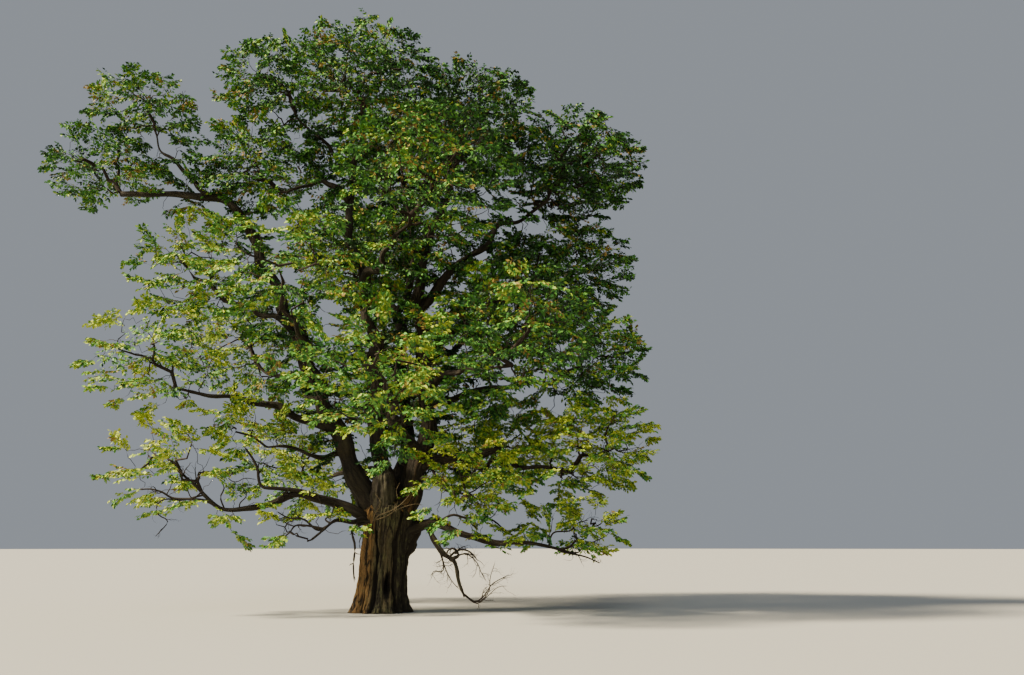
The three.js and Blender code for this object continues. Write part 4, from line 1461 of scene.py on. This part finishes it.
class ElmFoliageSettings(bpy.types.PropertyGroup):
    """Size, spacing and colours of the leaves."""

    leaf_length: length_setting("Leaf length", "Length of a leaf", 0.158)
    spacing: length_setting("Spray spacing", "Least distance between the middles of sprays", 1.035)
    right_density: share_setting("Right density", "How much denser the right side is", 0.15)
    top_density: share_setting("Top density", "How much denser the top is", 0.165)
    overreach: length_setting("Overreach", "How far leaves pass the outer skin of their mass", 0.15)
    tiering: number_setting("Tiering", "How much closer sprays stand above each other", 1.6, 1)
    # Painted sunlight: raises every leaf's light, and with it the share of lime and yellow-green leaves
    sunlit: share_setting("Sunlit share", "How yellow the leaves are", 0.47)
    # Painted light on the tops of the masses
    top_light: share_setting("Top light", "How much lighter the tops of masses are", 0.14)
    amber_share: share_setting("Amber share", "Share of twigs with brownish leaves", 0.085)
    # Leaf tones for painted sunlight and shade, from full sun to full shade, and then amber
    lime: colour_setting("Lime", "Leaves in full sun", (0.33, 0.4, 0.036))
    yellow: colour_setting("Yellow-green", "Leaves in the sun", (0.19, 0.275, 0.028))
    green: colour_setting("Green", "Leaves in half shade", (0.072, 0.198, 0.026))
    deep: colour_setting("Deep green", "Leaves in the shade", (0.032, 0.12, 0.019))
    shade: colour_setting("Dark green", "Leaves in full shade", (0.009, 0.034, 0.008))
    amber: colour_setting("Amber", "Brownish leaves and seeds", (0.185, 0.13, 0.025))


class ElmLightSettings(bpy.types.PropertyGroup):
    """The floor and the lights."""

    floor_colour: colour_setting("Floor", "The plain pale floor", (0.32, 0.32, 0.305))
    sky_colour: colour_setting("Backdrop", "The plain light from all round", (0.66, 0.72, 0.8))
    sky_strength: number_setting("Backdrop strength", "Light from all round", 0.42)
    sun_colour: colour_setting("Sun colour", "The low warm light", (1.0, 0.84, 0.58))
    sun_strength: number_setting("Sun strength", "The low warm light", 18.0)
    fill_strength: number_setting("Fill strength", "The soft front light", 1.2)
    sun_way: bpy.props.FloatVectorProperty(
        name="Sun direction",
        description="Towards the low light",
        default=(-0.75, -0.12, 0.6),
        subtype="DIRECTION",
    )


# Operators


class ELM_OT_trunk(bpy.types.Operator):
    """Build the furrowed trunk with its root flare, burl and hollow"""

    bl_idname = "elm.trunk"
    bl_label = "Trunk"

    def execute(self, context):
        build_trunk()
        return {"FINISHED"}


class ELM_OT_leader(bpy.types.Operator):
    """Build the barkless stump of the broken leader"""

    bl_idname = "elm.leader"
    bl_label = "Broken leader"

    def execute(self, context):
        build_leader()
        return {"FINISHED"}


class ELM_OT_boughs(bpy.types.Operator):
    """Build the stems and boughs, each bent from a straight log with its bark's relief"""

    bl_idname = "elm.boughs"
    bl_label = "Stems and boughs"

    def execute(self, context):
        for index, bough in enumerate(BOUGHS):
            build_bough(index, bough)
        return {"FINISHED"}


class ELM_OT_dead_limb(bpy.types.Operator):
    """Build the dead limb that hangs to the ground, with its bare twigs"""

    bl_idname = "elm.dead_limb"
    bl_label = "Dead limb"

    def execute(self, context):
        build_dead_limb()
        return {"FINISHED"}


class ELM_OT_bare_twigs(bpy.types.Operator):
    """Build the bare twigs of the low boughs, those that hang from the trunk and the shoots across it"""

    bl_idname = "elm.bare_twigs"
    bl_label = "Bare twigs"

    def execute(self, context):
        build_low_twigs()
        build_trunk_shoots()
        return {"FINISHED"}


class ELM_OT_foliage(bpy.types.Operator):
    """Grow the twigs, sprays and leaves of every mass"""

    bl_idname = "elm.foliage"
    bl_label = "Foliage"

    def execute(self, context):
        sprays = sum(build_mass(index, bough) for index, bough in enumerate(BOUGHS))
        print(sprays, "sprays")
        return {"FINISHED"}


class ELM_OT_stage(bpy.types.Operator):
    """Set the pale floor, the lights and the camera"""

    bl_idname = "elm.stage"
    bl_label = "Floor, lights and camera"

    def execute(self, context):
        build_stage()
        return {"FINISHED"}


OPERATORS = (
    ELM_OT_trunk,
    ELM_OT_leader,
    ELM_OT_boughs,
    ELM_OT_dead_limb,
    ELM_OT_bare_twigs,
    ELM_OT_foliage,
    ELM_OT_stage,
)
SETTINGS = {
    "elm_trunk": ElmTrunkSettings,
    "elm_bark": ElmBarkSettings,
    "elm_foliage": ElmFoliageSettings,
    "elm_light": ElmLightSettings,
}


class ELM_PT_panel(bpy.types.Panel):
    """The settings and the steps of the tree"""

    bl_idname = "ELM_PT_panel"
    bl_label = "White elm"
    bl_space_type = "VIEW_3D"
    bl_region_type = "UI"
    bl_category = "White elm"

    def draw(self, context):
        for name, group in SETTINGS.items():
            box = self.layout.box()
            for setting in group.__annotations__:
                box.prop(getattr(context.scene, name), setting)
        for operator in OPERATORS:
            self.layout.operator(operator.bl_idname)


def register():
    for name, group in SETTINGS.items():
        bpy.utils.register_class(group)
        setattr(bpy.types.Scene, name, bpy.props.PointerProperty(type=group))
    for shown in (*OPERATORS, ELM_PT_panel):
        bpy.utils.register_class(shown)


def unregister():
    for shown in (ELM_PT_panel, *reversed(OPERATORS)):
        bpy.utils.unregister_class(shown)
    for name, group in SETTINGS.items():
        delattr(bpy.types.Scene, name)
        bpy.utils.unregister_class(group)


def main():
    register()
    bpy.ops.elm.trunk()
    bpy.ops.elm.leader()
    bpy.ops.elm.boughs()
    bpy.ops.elm.dead_limb()
    bpy.ops.elm.bare_twigs()
    bpy.ops.elm.foliage()
    bpy.ops.elm.stage()


if __name__ == "__main__":
    main()
